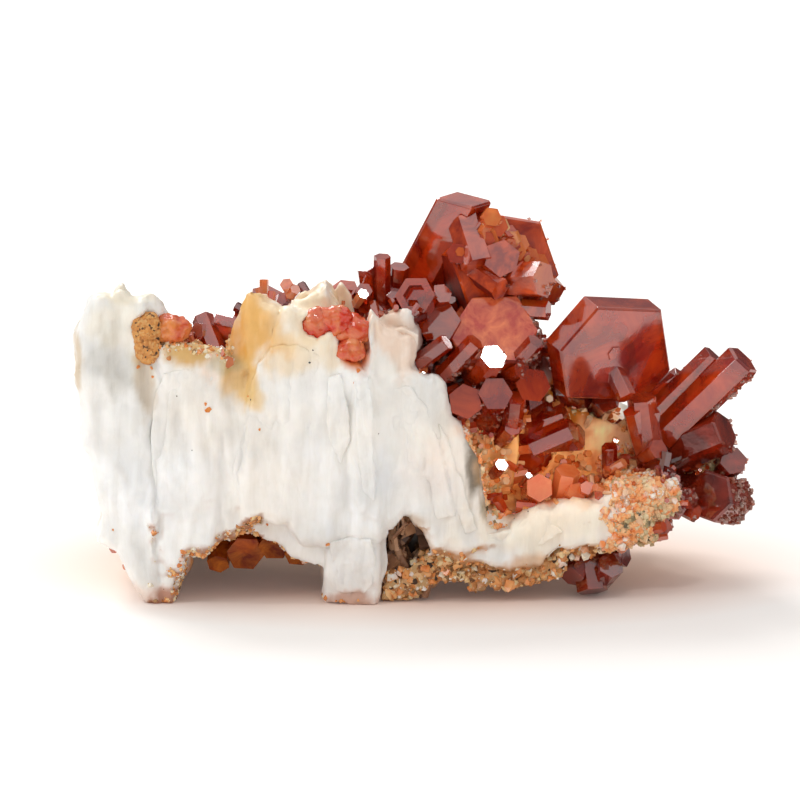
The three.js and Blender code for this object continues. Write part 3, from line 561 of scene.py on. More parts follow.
for blade in blades:
    blade.select_set(True)
bpy.context.view_layer.objects.active = blades[0]
bpy.ops.object.join()
fin = bpy.context.object
fin.name = "barite_blades"
add_remesh(fin, 0.17 * MM)
add_relief(fin, "blade_waves", "CLOUDS", 1.3 * MM, 0.35 * MM)
add_relief(fin, "blade_flutes", "CLOUDS", 0.6 * MM, 0.3 * MM, stretch=(1.0, 1.6, 4.5))
add_softening(fin, 0.4, 1)
apply_modifiers(fin)
remove_guides()
rest_on_floor(fin)
blade_place = in_mm(points_of(fin))
blade_colours = np.ones((len(blade_place), 4))
blade_colours[:, :3] = BARITE_WHITE
add_stains_and_painted_light(blade_colours, blade_place)
keep_colours(fin, blade_colours)
fin.data.materials.append(barite)
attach(fin, "root")

# The large vanadinite crystals: six-sided prisms and plates, sharp and glossy, deep red
# brown inside with an orange glow where they are thin. They grew on the matrix and into
# each other.


def crystal_material(
        label, deep, glow, tint, thickness, clear, cloudiness=260.0, gloss=(0.06, 2.1)):
    """Body colour from deep to glow in clouds; clear says how much light goes through; the
    gloss is a roughness and an index of refraction."""
    roughness, index = gloss
    material, tree, shader = new_material(
        label, {"Roughness": roughness, "IOR": index, "Transmission Weight": clear})
    place = {"Vector": node(tree, "TexCoord").outputs["Object"]}
    cloud = node(tree, "TexNoise", {
        "Scale": cloudiness, "Detail": 5.0, "Roughness": 0.62, "Distortion": 0.6}, place)
    body = ramp(tree, cloud.outputs["Fac"], [(0.38, deep), (0.68, glow)])
    tree.links.new(body, shader.inputs["Base Color"])
    ticks = node(tree, "TexNoise", {"Scale": 900.0, "Detail": 3.0}, place)
    add_bump(tree, shader, ticks.outputs["Fac"], 0.12, 0.02 * MM)
    inside = node(tree, "VolumeAbsorption", {"Color": (*tint, 1), "Density": 1.0 / thickness})
    tree.links.new(inside.outputs["Volume"], tree.nodes["Material Output"].inputs["Volume"])
    return material


red_crystal = crystal_material(
    "red_brown_vanadinite", (0.30, 0.010, 0.003), (0.78, 0.085, 0.010),
    (0.92, 0.12, 0.01), 2.0 * MM, 0.42)
dark_crystal = crystal_material(
    "dark_brown_vanadinite", (0.15, 0.010, 0.005), (0.50, 0.045, 0.012),
    (0.80, 0.10, 0.02), 1.2 * MM, 0.45)
orange_crystal = crystal_material(
    "orange_vanadinite", (0.80, 0.12, 0.03), (0.95, 0.30, 0.10),
    (0.98, 0.40, 0.12), 2.0 * MM, 0.35)
amber_crystal = crystal_material(
    "amber_brown_vanadinite", (0.28, 0.03, 0.004), (0.95, 0.26, 0.02),
    (0.97, 0.38, 0.05), 2.5 * MM, 0.4, 520.0, (0.1, 1.5))
brown_crystal = crystal_material(
    "terraced_brown_vanadinite", (0.28, 0.018, 0.005), (0.80, 0.10, 0.015),
    (0.90, 0.14, 0.01), 1.5 * MM, 0.15, 420.0)
FINISHES = [
    (dark_crystal,
     {"hanging_crystals", "lower_right_crystals", "edge_crystal", "dark_middle_crystals"}),
    (orange_crystal, {"pale_shelf_crystals_1", "pale_shelf_crystals_2"}),
    (amber_crystal, {"arch_crystals_1", "arch_crystals_2"}),
    (brown_crystal, {"crown_barrel"}),
]


def grown_crystal(name):
    """The node's crystals, grown until they touch what they sit on, with crisp worn edges."""
    piece = copy_of_node(name, "visual_" + name)
    edit_all(piece)
    bpy.ops.mesh.dissolve_limited(angle_limit=math.radians(1.0))
    bpy.ops.transform.shrink_fatten(value=0.16 * MM, use_even_offset=False)
    bpy.ops.object.mode_set(mode="OBJECT")
    rest_on_floor(piece)
    edge = piece.modifiers.new("edge", "BEVEL")
    edge.width = 0.05 * MM
    edge.segments = 2
    edge.limit_method = "ANGLE"
    edge.angle_limit = math.radians(20)
    apply_modifiers(piece)
    bpy.ops.object.shade_flat()
    return piece


crystal_pieces = {}
for name in crystal_nodes:
    piece = grown_crystal(name)
    finish = next((finish for finish, names in FINISHES if name in names), red_crystal)
    piece.data.materials.append(finish)
    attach(piece, "root")
    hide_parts(name)
    crystal_pieces[name] = piece

# The right side of the crown crystal is thin and gets a clearer, brighter orange red body, a
# painted glow of the light that shines through it; the side that faces the gap beside it gets a
# dark, dull body as painted shade.
crown = crystal_pieces["crown_barrel"]
crown.data.materials.append(crystal_material(
    "painted_glow_on_the_crown", (0.62, 0.035, 0.006), (0.95, 0.19, 0.02), (0.95, 0.2, 0.02),
    2.0 * MM, 0.4))
crown.data.materials.append(crystal_material(
    "shaded_side_of_the_crown", (0.10, 0.006, 0.003), (0.36, 0.028, 0.008), (0.8, 0.1, 0.02),
    1.0 * MM, 0.1, 400.0, (0.5, 1.12)))
PAINTED_GLOW, SHADED = 1, 2
PAINTED_GLOW_FROM = matrix_low.x + 39.6 * MM
GAP_TOP = 29.0 * MM
for face in crown.data.polygons:
    if face.center.x > PAINTED_GLOW_FROM:
        face.material_index = PAINTED_GLOW
    elif face.normal.x < -0.6 and face.center.z < GAP_TOP:
        face.material_index = SHADED

# The broad end of the middle plate is lighter and salmon, with orange spots inside: its own salmon
# colour with painted sheen, a lighter body in place of the pale light that its face mirrors.
salmon_with_painted_sheen = crystal_material(
    "salmon_plate_end_with_painted_sheen", (0.56, 0.045, 0.022), (0.92, 0.23, 0.08),
    (0.98, 0.30, 0.06), 2.0 * MM, 0.1, 650.0, (0.1, 1.7))
middle_plate = crystal_pieces["centre_cluster_1"]
middle_plate.data.materials.append(salmon_with_painted_sheen)
END_DIRECTION = Vector((0, -0.62, 0.79))
BROAD = 6 * MM * MM
SALMON_WITH_PAINTED_SHEEN = 1
for face in middle_plate.data.polygons:
    if face.normal.dot(END_DIRECTION) > 0.98 and face.area > BROAD:
        face.material_index = SALMON_WITH_PAINTED_SHEEN

# The last growth of that crystal: a thin six-sided plate on its end, of the same colour, with the
# same painted sheen.
PLATE_NORMAL = Vector((0.0, -0.906, 0.42)).normalized()
bpy.ops.object.select_all(action="DESELECT")
bpy.ops.mesh.primitive_cylinder_add(vertices=6, radius=4.3 * MM, depth=2.2 * MM, location=(0, 0, 0))
last_growth = bpy.context.object
last_growth.name = "last_growth_of_the_middle_plate"
last_growth.matrix_world = (
    Matrix.Translation(Vector(matrix_low) + Vector((36.7, 6.5, 23.1)) * MM)
    @ PLATE_NORMAL.to_track_quat("Z", "Y").to_matrix().to_4x4()
    @ Matrix.Diagonal((1.0, 0.8, 1.0, 1)) @ Matrix.Rotation(math.radians(30), 4, "Z"))
bpy.ops.object.transform_apply(location=True, rotation=True, scale=True)
plate_edge = last_growth.modifiers.new("edge", "BEVEL")
plate_edge.width = 0.14 * MM
plate_edge.segments = 2
apply_modifiers(last_growth)
bpy.ops.object.shade_flat()
last_growth.data.materials.append(salmon_with_painted_sheen)
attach(last_growth, "root")

# The druse: hundreds of small vanadinite prisms that line the matrix between the large
# crystals, grown at every angle.


def turned_to(direction, spin):
    turn = Vector(direction).to_track_quat("Z", "Y").to_matrix().to_4x4()
    return turn @ Matrix.Rotation(spin, 4, "Z")


def joined_copies(template, places, name, seed):
    """One mesh of all the copies, each with its own random tone from 0 to 1."""
    points = points_of(template)
    faces = [tuple(face.vertices) for face in template.data.polygons]
    all_points = np.vstack([
        points @ np.array(place.to_3x3()).T + np.array(place.translation) for place in places])
    all_faces = [
        tuple(corner + copy * len(points) for corner in face)
        for copy in range(len(places)) for face in faces]
    all_points[:, 2] = np.maximum(all_points[:, 2], 0.0)
    mesh = bpy.data.meshes.new(name)
    mesh.from_pydata(all_points.tolist(), [], all_faces)
    tones = np.random.default_rng(seed).random(len(places))
    tone = mesh.attributes.new("tone", "FLOAT", "POINT")
    tone.data.foreach_set("value", np.repeat(tones, len(points)).astype(np.float32))
    bpy.data.objects.remove(template)
    return new_object(name, mesh)


def prism_template():
    """A six-sided prism, one across and one tall, standing on its end."""
    bpy.ops.object.select_all(action="DESELECT")
    bpy.ops.mesh.primitive_cylinder_add(vertices=6, radius=0.5, depth=1.0, location=(0, 0, 0.5))
    template = bpy.context.object
    bpy.ops.object.transform_apply(location=True, rotation=True, scale=True)
    return template


def near_crystals(points, outward):
    """More of them close to the large crystals, fewer on the bed behind the shelf."""
    away = np.array([crystal_tree.find(p)[2] for p in points]) / MM
    x, y, z = in_mm(points).T
    bed = (x > 35.0) * (x < 50.0) * (y < 13.0) * (z > 7.5) * (z < 17.0)
    return np.exp(-away / 1.1) * (y > 3.6) * (outward[:, 2] > -0.6) * (z > 3.5) * (1.0 - 0.7 * bed)


FULL_TURN = 6.28
SUNK_SHARE = 0.35


def prism_places(points, outward, seed, widths, lengths, spread):
    dice = random.Random(seed)
    places = []
    for point, direction in zip(points, outward):
        lean = Vector(direction) + spread * Vector([dice.gauss(0, 1) for _ in range(3)])
        if lean.z < -0.2:
            lean.z = 0.1
        lean.normalize()
        width = dice.uniform(*widths) * MM
        length = width * dice.uniform(*lengths)
        start = Vector(point) - lean * length * SUNK_SHARE
        turn = turned_to(lean, dice.uniform(0, FULL_TURN))
        places.append(Matrix.Translation(start) @ turn @ Matrix.Diagonal((width, width, length, 1)))
    return places


def tone_material(label, colours, roughness, index, clear, patchy=0.0):
    """Colours chosen by each copy's own tone, and as patchy says by where it sits."""
    material, tree, shader = new_material(
        label, {"Roughness": roughness, "IOR": index, "Transmission Weight": clear})
    place = {"Vector": node(tree, "TexCoord").outputs["Object"]}
    patches = node(tree, "TexNoise", {"Scale": 330.0}, place)
    spread = node(
        tree, "MapRange", {"From Min": 0.32, "From Max": 0.68}, {"Value": patches.outputs["Fac"]})
    tone = node(tree, "Attribute", attribute_name="tone")
    chosen = node(
        tree, "Mix", {"Factor": patchy}, {"A": tone.outputs["Fac"], "B": spread.outputs["Result"]})
    colour = ramp(tree, chosen.outputs["Result"], even_stops(colours))
    cloud = node(tree, "TexNoise", {"Scale": 1400.0, "Detail": 3.0}, place)
    mottle = node(
        tree, "Mix", {"Factor": 0.7}, {"A": colour, "B": cloud.outputs["Fac"]},
        data_type="RGBA", blend_type="SOFT_LIGHT")
    tree.links.new(mottle.outputs["Result"], shader.inputs["Base Color"])
    return material


# Crystals at places of their own: from the left end, from the front and up, in mm, the way
# they point, how wide and how long. The last ones shine white, because their ends face
# halfway between the eye and the light.
LONE_CRYSTALS = [
    ((2.9, 4.2, 8.7), (-1.0, -0.3, 0.15), 1.0, 1.8),
    ((3.3, 3.4, 4.6), (-0.6, -0.7, -0.2), 0.9, 1.8),
    ((4.3, 3.0, 3.1), (-0.8, -0.5, 0.0), 0.6, 1.2),
    ((13.6, 1.0, 21.9), (0.2, -0.9, 0.3), 1.1, 1.2),
    ((12.9, 1.3, 22.6), (-0.3, -0.7, 0.6), 0.8, 1.2),
    ((9.2, 2.0, 24.2), (0.3, -0.6, 0.7), 0.8, 1.3),
    ((19.4, 5.4, 27.5), (0.4, -0.7, 0.6), 1.0, 1.2),
    ((18.6, 5.6, 27.9), (-0.3, -0.7, 0.6), 1.2, 1.4),
    ((8.6, 2.4, 4.4), (0.3, -0.8, -0.3), 1.1, 1.1),
    ((9.4, 2.6, 5.2), (0.5, -0.8, -0.1), 0.9, 1.2),
    ((10.9, 3.2, 5.4), (0.2, -0.9, -0.3), 1.3, 1.2),
    ((12.0, 3.6, 6.0), (-0.2, -0.9, -0.2), 1.6, 1.2),
    ((13.3, 3.8, 6.4), (0.2, -1.0, -0.1), 1.2, 1.0),
    ((16.8, 4.2, 7.0), (0.1, -1.0, -0.1), 1.9, 1.2),
    ((18.8, 4.2, 6.3), (0.3, -0.9, -0.1), 1.3, 1.1),
    ((20.4, 4.2, 5.6), (-0.1, -0.9, -0.3), 1.3, 1.1),
    ((49.9, 4.2, 6.9), (-0.1, -0.9, -0.2), 2.3, 1.5),
    ((51.6, 4.8, 8.0), (0.6, -0.7, 0.1), 1.5, 1.5),
    ((51.2, 4.4, 9.6), (0.4, -0.8, 0.3), 1.0, 1.4),
    ((52.2, 5.4, 10.3), (0.6, -0.6, 0.4), 1.1, 1.6),
    ((46.9, 6.4, 11.3), (-0.2, -0.6, 0.8), 0.9, 2.0),
    ((48.3, 6.0, 11.8), (0.7, -0.4, 0.5), 0.9, 2.2),
    ((45.4, 5.0, 9.9), (0.3, -0.8, 0.5), 0.8, 1.4),
    ((41.2, 4.4, 8.2), (-0.5, -0.7, 0.5), 0.8, 1.2),
    ((45.0, 3.9, 10.0), (0.1, -0.8, 0.5), 1.3, 1.6),
    ((46.1, 3.8, 9.7), (-0.4, -0.8, 0.4), 1.0, 1.6),
    ((49.0, 4.0, 5.2), (0.2, -0.9, -0.4), 1.2, 1.3),
    ((48.0, 3.2, 4.6), (-0.2, -0.9, -0.3), 0.9, 1.2),
]
SHINING = Vector((0.33, -0.72, 0.61)).normalized()
SHINING_CRYSTALS = [
    ((37.5, 5.2, 11.8), 1.2), ((39.9, 4.9, 10.9), 0.6), ((25.35, 4.8, 27.2), 1.0),
    ((47.6, 7.0, 13.6), 0.5), ((47.0, 5.2, 9.9), 0.3), ((46.4, 5.2, 9.7), 0.3),
    ((35.4, 4.0, 10.6), 0.25), ((35.7, 3.8, 9.7), 0.22), ((35.2, 4.2, 8.9), 0.28),
    ((37.7, 4.2, 7.0), 0.4), ((30.6, 2.6, 20.5), 0.45), ((31.2, 2.9, 20.2), 0.35),
    ((55.0, 6.6, 11.0), 0.35), ((20.6, 2.4, 25.6), 0.3),
]


def lone_place(place, direction, width, length, spin):
    """A crystal whose far end is at that place of the specimen."""
    size = Matrix.Diagonal((width * MM, width * MM, length * MM, 1))
    end = Matrix.Translation(Vector(matrix_low) + Vector(place) * MM)
    return end @ turned_to(direction, spin) @ size @ Matrix.Translation((0, 0, -1))


lone_places = [
    lone_place(place, Vector(way).normalized(), width, length, 0.7 * index)
    for index, (place, way, width, length) in enumerate(LONE_CRYSTALS)]
lone_places += [
    lone_place(place, SHINING, width, 2.0 if width > 0.5 else 0.8, 0.3 + index)
    for index, (place, width) in enumerate(SHINING_CRYSTALS)]
lone = joined_copies(prism_template(), lone_places, "lone_small_crystals", 14)
lone.data.materials.append(tone_material(
    "small_orange_red_vanadinite",
    [(0.34, 0.030, 0.008), (0.62, 0.08, 0.015), (0.85, 0.17, 0.04), (0.93, 0.32, 0.12)],
    0.08, 2.2, 0.4))
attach(lone, "root")


def open_bed(points, outward):
    """The bare bed behind the shelf, between the crystals."""
    x, y, z = in_mm(points).T
    inside = (x > 33.5) * (x < 52) * (y > 3.6) * (y < 17) * (z > 7.5) * (z < 19)
    return inside * (0.25 + 0.75 * (np.sin(1.3 * x + 0.9 * y) * np.sin(1.1 * z - 0.7 * x) > 0))


druse_finish = tone_material(
    "small_red_vanadinite",
    [(0.15, 0.010, 0.005), (0.44, 0.028, 0.008), (0.75, 0.085, 0.015), (0.95, 0.28, 0.09)],
    0.07, 2.2, 0.4)
bed_finish = tone_material(
    "glowing_orange_vanadinite",
    [(0.60, 0.08, 0.015), (0.90, 0.26, 0.06), (1.0, 0.46, 0.16), (1.0, 0.68, 0.42)],
    0.08, 2.0, 0.3)
# Name, where, how many, seed, widths in mm, lengths in widths, how far they lean, finish.
DRUSES = [
    ("druse_of_small_crystals", near_crystals, 900, 11, (0.35, 1.1), (1.2, 3.2), 0.45,
     druse_finish),
    ("bed_druse", open_bed, 520, 15, (0.18, 0.75), (0.8, 2.4), 0.5, bed_finish),
]
for name, where, count, seed, widths, lengths, lean, finish in DRUSES:
    points, outward = spots_on(matrix, count, seed, where)
    places = prism_places(points, outward, seed + 1, widths, lengths, lean)
    druse = joined_copies(prism_template(), places, name, seed + 2)
    druse.data.materials.append(finish)
    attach(druse, "root")

# The broken end of the large crown crystal: thin six-sided growth plates, orange brown to
# beige, stacked in steps on its end face, all turned the same way as the crystal.
barrel_low, barrel_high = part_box("crown_barrel")
BARREL_AXIS = Vector((0.29, -0.95, 0.11)).normalized()


def broken_end(points, outward):
    x, y, z = ((points - np.array(barrel_low)) / np.array(barrel_high - barrel_low)).T
    return (outward @ np.array(BARREL_AXIS) > 0.97) * (z > 0.62 - 0.12 * x) * (x < 0.72)


points, outward = spots_on(crystal_pieces["crown_barrel"], 60, 41, broken_end)
dice = random.Random(42)
places = []
for point in points:
    width = dice.uniform(0.5, 2.1) * MM
    thick = dice.uniform(0.3, 1.0) * MM
    wobbly = (BARREL_AXIS + 0.22 * Vector([dice.gauss(0, 1) for _ in range(3)])).normalized()
    sunk = Vector(point) - BARREL_AXIS * thick * 0.3
    size = Matrix.Diagonal((width, width, thick, 1))
    places.append(Matrix.Translation(sunk) @ turned_to(wobbly, 0.35) @ size)
terraces = joined_copies(prism_template(), places, "growth_plates", 43)
terraces.data.materials.append(tone_material(
    "growth_plate_finish",
    [(0.46, 0.035, 0.008), (0.75, 0.11, 0.02), (0.90, 0.24, 0.05), (0.94, 0.52, 0.24)],
    0.2, 1.6, 0.35))
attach(terraces, "root")

# Tiny clear beads and prisms of late growth on the lower right faces and edges of the
# outer crystals, like frost.


def sheltered_faces(points, outward):
    return (outward[:, 0] > 0.35) * (outward[:, 2] < 0.35)


def right_rim(points, outward):
    return (outward[:, 0] > 0.5) * (outward[:, 2] > -0.3)


places = []
for name, count, seed in (
        ("right_prism", 150, 51), ("edge_crystal", 120, 52), ("lower_right_crystals", 260, 53),
        ("centre_cluster_1", 160, 54), ("crown_barrel", 70, 55), ("right_rim_crystals", 120, 56)):
    points, outward = spots_on(crystal_pieces[name], count, seed, sheltered_faces)
    places += prism_places(points, outward, seed, (0.14, 0.38), (0.8, 1.8), 0.3)
points, outward = spots_on(last_growth, 46, 58, right_rim)
places += prism_places(points, outward, 58, (0.3, 0.7), (0.6, 1.1), 0.4)
beads = joined_copies(prism_template(), places, "frost_of_tiny_crystals", 57)
beads.data.materials.append(tone_material(
    "frost_finish",
    [(0.45, 0.08, 0.04), (0.75, 0.28, 0.18), (0.90, 0.60, 0.50)], 0.1, 1.8, 0.7))
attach(beads, "root")

# The crust under the rim of the shelf: sugary grains of iron-stained mineral, orange, tan
# and grey with dark bits, grown on the matrix and round the arch.


def crust_material(label, colours, size, roughness=0.7):
    """Grains of several colours, each grain a cell of its own."""
    material, tree, shader = new_material(label, {"Roughness": roughness})
    place = node(tree, "TexCoord").outputs["Object"]
    cells = node(tree, "TexVoronoi", {"Scale": 1.0 / size}, {"Vector": place})
    chance = node(tree, "SeparateColor", {}, {"Color": cells.outputs["Color"]})
    colour = ramp(tree, chance.outputs["Red"], even_stops(colours))
    tree.links.new(colour, shader.inputs["Base Color"])
    add_bump(tree, shader, cells.outputs["Distance"], 0.8, 0.3 * size, invert=True)
    return material


crust = copy_of_node("rim_crust", "visual_rim_crust")
add_remesh(crust, 0.17 * MM)
add_relief(crust, "crust_lumps", "CLOUDS", 1.4 * MM, 1.1 * MM)
add_relief(crust, "crust_pits", "VORONOI", 0.7 * MM, -0.6 * MM)
apply_modifiers(crust)
# It is thinner below towards the right.
points = points_of(crust)
crust_along, _, crust_height = in_mm(points).T
thinner = np.clip((crust_along - 40.0) / 4.0, 0, 1) * np.clip(1 - crust_height / 6.0, 0, 1)
points[:, 2] += 1.9 * thinner * MM
move_points(crust, points)
rest_on_floor(crust)
crust.data.materials.append(crust_material(
    "iron_stained_crust",
    [(0.03, 0.02, 0.012), (0.46, 0.18, 0.05), (0.70, 0.32, 0.11), (0.52, 0.34, 0.16),
     (0.80, 0.48, 0.24)], 0.45 * MM))
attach(crust, "root")
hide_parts("rim_crust")


def grain_template():
    """A small angular grain, about one across."""
    bpy.ops.object.select_all(action="DESELECT")
    bpy.ops.mesh.primitive_ico_sphere_add(subdivisions=1, radius=0.5, location=(0, 0, 0))
    template = bpy.context.object
    edit_all(template)
    bpy.ops.transform.resize(value=(1.0, 0.8, 0.9))
    bpy.ops.transform.vertex_random(offset=0.26, seed=3)
    bpy.ops.object.mode_set(mode="OBJECT")
    return template


def grain_places(points, outward, seed, widths, sink, few_large):
    dice = random.Random(seed)
    places = []
    for point, direction in zip(points, outward):
        width = (widths[0] + (widths[1] - widths[0]) * dice.random() ** few_large) * MM
        start = Vector(point) - Vector(direction) * width * sink
        start.z = max(start.z, 0.55 * width)
        lean = Vector([dice.gauss(0, 1) for _ in range(3)]).normalized()
        deep, tall = width * dice.uniform(0.7, 1), width * dice.uniform(0.7, 1.2)
        turn = turned_to(lean, dice.uniform(0, FULL_TURN))
        places.append(Matrix.Translation(start) @ turn @ Matrix.Diagonal((width, deep, tall, 1)))
    return places


def under_rims(points, outward):
    """The underside of the arch and of the shelf, the rims of the feet, the top of a blade."""
    x, y, z = in_mm(points).T
    arch = (x > 6.5) * (x < 21.8) * (z > 0.2) * (z < 9.0) * (y < 5.5) * (outward[:, 2] < -0.4)
    arch = arch * ((x < 16.5) + (y > 3.4))
    foot = (x > 20.5) * (x < 36) * (z < 0.6) * (y < 6)
    under_shelf = (x > 31) * (x < 52) * (z < 6.5) * (y < 8) * (outward[:, 2] < -0.5)
    foot_side = (x > 8.5) * (x < 12.5) * (z < 5.5) * (y < 3.5) * (outward[:, 0] > 0.3)
    blade_top = (x > 7.4) * (x < 14.2) * (y < 4) * (z > 21.2) * (z < 24.6) * (outward[:, 2] > 0.25)
    return 3.0 * arch + 0.3 * foot + 1.2 * under_shelf + 2.5 * foot_side + 3.0 * blade_top


def gravelly_end(points, outward):
    """The rough right end of the shelf and the strip beside the white panel."""
    x, y, z = in_mm(points).T
    end = (x > 46.6 + 0.6 * np.sin(2.2 * z)) * (z > 4.0) * (z < 12.8) * (y < 12)
    strip = (x > 34.0) * (x < 38.0) * (z > 6.6) * (z < 18) * (y > 2.4) * (y < 8)
    ledge = (x > 40) * (x < 49) * (y > 9) * (y < 13) * (z > 15) * (z < 17.5) * (outward[:, 2] > 0.2)
    return 1.0 * end + 0.4 * strip + 0.3 * ledge


grain_finish = tone_material(
    "sugary_grains",
    [(0.03, 0.02, 0.012), (0.42, 0.22, 0.08), (0.84, 0.28, 0.07), (0.98, 0.52, 0.20),
     (0.88, 0.70, 0.38), (0.97, 0.94, 0.88), (0.94, 0.42, 0.20)],
    0.2, 1.55, 0.15, 0.25)
gravel_finish = tone_material(
    "tan_gravel",
    [(0.05, 0.045, 0.03), (0.52, 0.40, 0.20), (0.92, 0.72, 0.45), (0.97, 0.52, 0.24),
     (0.92, 0.30, 0.08), (0.98, 0.93, 0.84), (1.0, 0.60, 0.28)],
    0.25, 1.5, 0.1, 0.5)
# Name, what it grew on and where, how many, seed, widths in mm, how deep the grains are
# sunk, how few are large, finish.
GRAINS = [
    ("crust_grains", crust, everywhere, 2300, 21, (0.12, 1.1), 0.2, 2.5, grain_finish),
    ("crust_pieces", crust, everywhere, 420, 24, (0.6, 1.5), 0.25, 2.0, grain_finish),
    ("matrix_grains", matrix, under_rims, 2300, 31, (0.15, 0.8), 0.1, 2.5, grain_finish),
    ("shelf_gravel", matrix, gravelly_end, 4200, 34, (0.28, 1.0), 0.0, 1.8, gravel_finish),
]
for name, surface, where, count, seed, widths, sink, few_large, finish in GRAINS:
    points, outward = spots_on(surface, count, seed, where)
    places = grain_places(points, outward, seed + 1, widths, sink, few_large)
    grains = joined_copies(grain_template(), places, name, seed + 2)
    grains.data.materials.append(finish)
    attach(grains, "root")

# Single orange spots and black specks on the wall: from the left end and up, in mm, how
# wide, and the tone from 0, black, to 1, pale orange.
WALL_SPOTS = [
    (11.8, 17.6, 0.85, 0.72), (11.6, 18.1, 0.45, 0.66), (22.3, 5.6, 0.75, 0.72),
    (22.7, 5.5, 0.5, 0.8), (15.6, 18.6, 0.36, 0.02), (15.3, 18.9, 0.3, 0.7),
    (16.3, 15.9, 0.35, 0.75), (21.0, 23.1, 0.2, 0.05), (2.2, 4.6, 0.9, 0.66),
    (2.7, 4.4, 0.6, 0.55), (4.0, 3.0, 0.4, 0.75), (3.4, 6.6, 0.3, 0.85),
    (9.1, 18.8, 0.18, 0.05), (10.4, 14.0, 0.16, 0.05), (16.9, 6.9, 0.35, 0.7),
    (5.7, 21.3, 0.5, 0.62), (6.9, 21.2, 0.45, 0.7), (7.0, 20.4, 0.4, 0.75),
    (30.3, 20.9, 0.3, 0.7), (24.6, 20.2, 0.5, 0.6), (24.9, 21.2, 0.6, 0.66),
    (24.4, 22.0, 0.5, 0.6), (25.0, 22.6, 0.7, 0.55), (26.7, 15.6, 0.16, 0.1),
    (38.6, 7.4, 0.22, 0.03), (37.9, 6.2, 0.24, 0.03), (39.8, 8.1, 0.2, 0.05),
    (36.9, 6.7, 0.2, 0.1),
]
spot_places = []
for index, (from_left, up, width, _) in enumerate(WALL_SPOTS):
    point, outward = on_the_wall(from_left, up)
    spot_places.append(
        Matrix.Translation(point) @ turned_to(outward, 1.3 * index)
        @ Matrix.Diagonal((width * MM, width * MM * 0.75, 0.4 * width * MM, 1)))
wall_spots = joined_copies(grain_template(), spot_places, "spots_on_the_wall", 37)
corners_each = len(wall_spots.data.vertices) // len(WALL_SPOTS)
spot_tones = np.repeat([tone for *_, tone in WALL_SPOTS], corners_each)
wall_spots.data.attributes["tone"].data.foreach_set("value", spot_tones.astype(np.float32))
wall_spots.data.materials.append(tone_material(
    "spot_finish",
    [(0.02, 0.015, 0.01), (0.30, 0.10, 0.03), (0.80, 0.24, 0.03), (0.95, 0.50, 0.14)],
    0.3, 1.6, 0.1))
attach(wall_spots, "root")

# The rounded lumps high on the wall: one brown with black specks, one pink and one glossy
# red, each a crust that grew in bumps.


def rounded_lump(name, swell):
    piece = copy_of_node(name, "visual_" + name)
    add_remesh(piece, 0.13 * MM)
    add_softening(piece, 0.5, 8)
    add_relief(piece, name + "_bumps", "CLOUDS", 0.9 * MM, swell, level=0.1)
    add_relief(piece, name + "_grit", "CLOUDS", 0.3 * MM, 0.22 * MM)
    apply_modifiers(piece)
    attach(piece, "root")
    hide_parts(name)
    return piece


brown_lump = rounded_lump("left_nodule", 0.8 * MM)
brown_lump.data.materials.append(crust_material(
    "brown_lump_with_black_specks",
    [(0.02, 0.015, 0.01), (0.52, 0.20, 0.045), (0.64, 0.26, 0.06), (0.70, 0.32, 0.08),
     (0.64, 0.36, 0.13), (0.58, 0.23, 0.05), (0.66, 0.30, 0.09), (0.48, 0.18, 0.05)], 0.2 * MM))
pink_lump = rounded_lump("pink_lump", 0.9 * MM)
pink_lump.data.materials.append(crystal_material(
    "pink_lump_finish", (0.72, 0.10, 0.025), (0.96, 0.36, 0.10), (0.95, 0.5, 0.2),
    2.0 * MM, 0.2, 500.0, (0.1, 1.6)))
red_lump = rounded_lump("red_nodule", 1.0 * MM)
red_lump.data.materials.append(crystal_material(
    "glossy_red_lump", (0.80, 0.05, 0.02), (1.0, 0.36, 0.13), (0.97, 0.3, 0.1),
    2.0 * MM, 0.3, 520.0, (0.05, 1.6)))

# Inside the small cavity beside the middle foot: thin brown blades standing on edge.
flakes = copy_of_node("cavity_flakes", "visual_cavity_flakes")
add_remesh(flakes, 0.1 * MM)
add_relief(flakes, "flake_wear", "CLOUDS", 0.5 * MM, 0.3 * MM)
apply_modifiers(flakes)
rest_on_floor(flakes)
flakes.data.materials.append(crust_material(
    "brown_flakes", [(0.06, 0.03, 0.02), (0.26, 0.12, 0.06), (0.40, 0.22, 0.12)], 0.8 * MM, 0.45))
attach(flakes, "root")
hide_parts("cavity_flakes")

# Loose flakes, thinner still, stand and lie between them.
bpy.ops.object.select_all(action="DESELECT")
bpy.ops.mesh.primitive_cube_add(size=1.0, location=(0, 0, 0))
thin_blade = bpy.context.object
edit_all(thin_blade)
bpy.ops.mesh.subdivide(number_cuts=2)
bpy.ops.transform.vertex_random(offset=0.07, seed=4)
bpy.ops.object.mode_set(mode="OBJECT")
flake_low, flake_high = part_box("cavity_flakes")
dice = random.Random(61)
places = []
for _ in range(90):
    spot = Vector([dice.uniform(a, b) for a, b in zip(
        flake_low - Vector((1.4, 0, 0)) * MM, flake_high + Vector((0, 1.0, 1.6)) * MM)])
    spot.z = max(spot.z, 1.2 * MM)
    tilt = Matrix.Rotation(dice.gauss(0, 0.6), 4, "Y") @ Matrix.Rotation(dice.gauss(0, 0.7), 4, "Z")
    thick, wide, tall = (
        dice.uniform(*sizes) * MM for sizes in ((0.15, 0.4), (0.7, 1.5), (1.0, 2.4)))
    places.append(Matrix.Translation(spot) @ tilt @ Matrix.Diagonal((thick, wide, tall, 1)))
thin_flakes = joined_copies(thin_blade, places, "thin_cavity_flakes", 62)
thin_flakes.data.materials.append(tone_material(
    "thin_flake_finish", [(0.06, 0.03, 0.02), (0.34, 0.16, 0.08), (0.66, 0.40, 0.24)],
    0.4, 1.55, 0.0))
rest_on_floor(thin_flakes)
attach(thin_flakes, "root")

